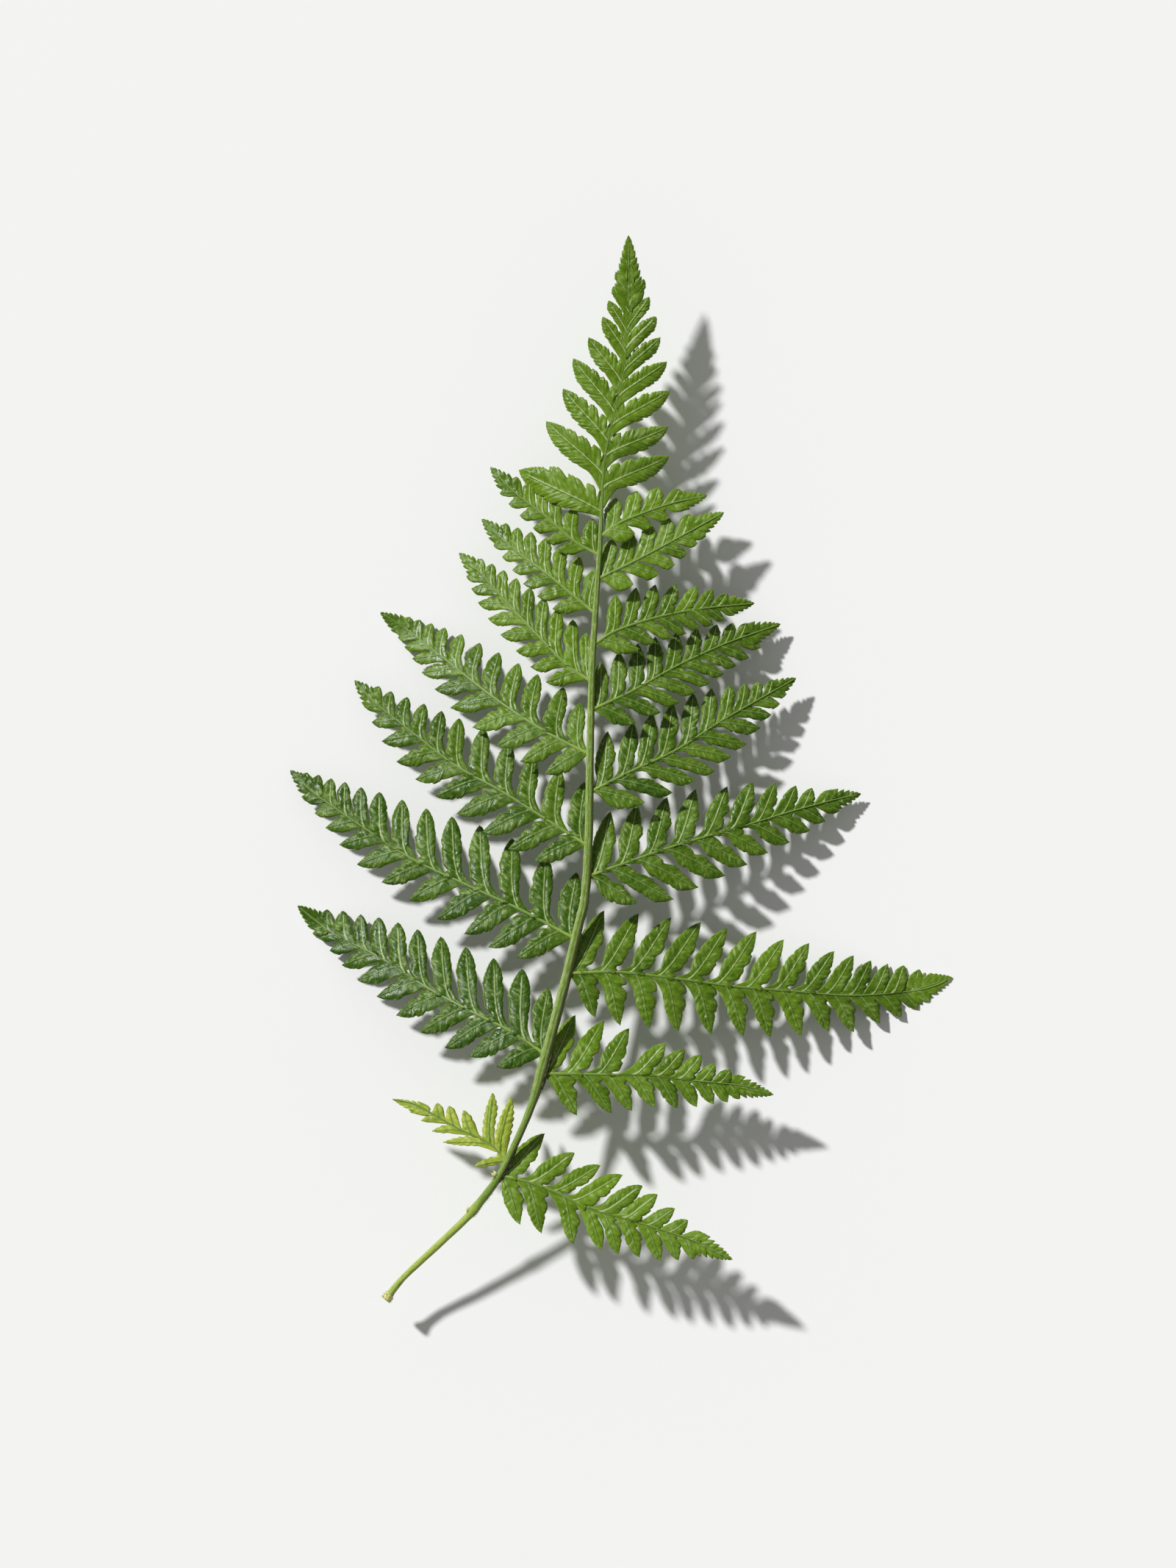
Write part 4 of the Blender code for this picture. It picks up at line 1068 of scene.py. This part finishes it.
# Dark scales beside the roots of the two lowest right pinnae, also standing as painted shade where the stalk
# casts its shadow on their bases: share from and to, way round and radius
collarForm = {"right_1": (0.146, 0.174, 66, 0.46), "right_2": (0.232, 0.264, 68, 0.85)}
for name, (low, high, turn, radius) in collarForm.items():
    spikes = []
    for _ in range(collarVariety["count"]):
        share = draw.uniform(low, high)
        angle = math.radians(turn + draw.uniform(-collarVariety["spread"], collarVariety["spread"]))
        root, outward, forward = onStalk(share, angle, -radius * collarVariety["sunk"])
        point = forward * draw.uniform(*collarVariety["along"])
        point += outward * draw.uniform(*collarVariety["out"])
        spikes.append((root, point, radius * collarVariety["radius"], collarVariety["bulge"]))
    makeSpikes("collar_" + name, 7, spikes, hairSkins["collar"])
print("buds and collars made")

# Floor, light and camera
floorForm = {"size": 3.0, "colour": (0.865, 0.865, 0.865, 1), "roughness": 0.8}
bpy.ops.object.select_all(action="DESELECT")
bpy.ops.mesh.primitive_plane_add(size=floorForm["size"], location=(0, 0, 0))
floor = bpy.context.object
floor.name = "floor"
floorShader = Shader("floor")
floorShader.surface.inputs["Base Color"].default_value = floorForm["colour"]
floorShader.surface.inputs["Roughness"].default_value = floorForm["roughness"]
floor.data.materials.append(floorShader.material)

lightForm = {"elevation": 40.0, "toward": (0.715, -0.700), "strength": 3.84, "softness": 3.8,
             "fill": 0.25, "fillColour": (1.0, 1.0, 0.96, 1)}
bpy.ops.object.light_add(type="SUN", location=(-0.5, 0.6, 0.7))
sun = bpy.context.object
sun.name = "key"
sun.data.energy = lightForm["strength"]
sun.data.angle = math.radians(lightForm["softness"])
across, up = lightForm["toward"]
sun.rotation_euler = (0, math.radians(90 - lightForm["elevation"]), math.atan2(up, across) + math.pi)
world = bpy.data.worlds.new("room")
bpy.context.scene.world = world
world.use_nodes = True
background = world.node_tree.nodes["Background"]
background.inputs["Color"].default_value = lightForm["fillColour"]
background.inputs["Strength"].default_value = lightForm["fill"]
bpy.context.scene.view_settings.view_transform = "Standard"

# The camera looks straight down, and its frame is as high as the picture
cameraForm = {"lens": 260.0, "sensor": 36.0, "frame": 2133 * pointSize, "middle": (800, 1066.5),
              "focusHeight": 12.0}
centre = placeAt(cameraForm["middle"])
distance = cameraForm["lens"] / cameraForm["sensor"] * cameraForm["frame"] + cameraForm["focusHeight"]
bpy.ops.object.camera_add(location=(centre[0] * mm, centre[1] * mm, distance * mm), rotation=(0, 0, 0))
camera = bpy.context.object
camera.data.lens = cameraForm["lens"]
camera.data.sensor_width = cameraForm["sensor"]
camera.data.clip_end = 20
bpy.context.scene.camera = camera
print("floor, light and camera set")
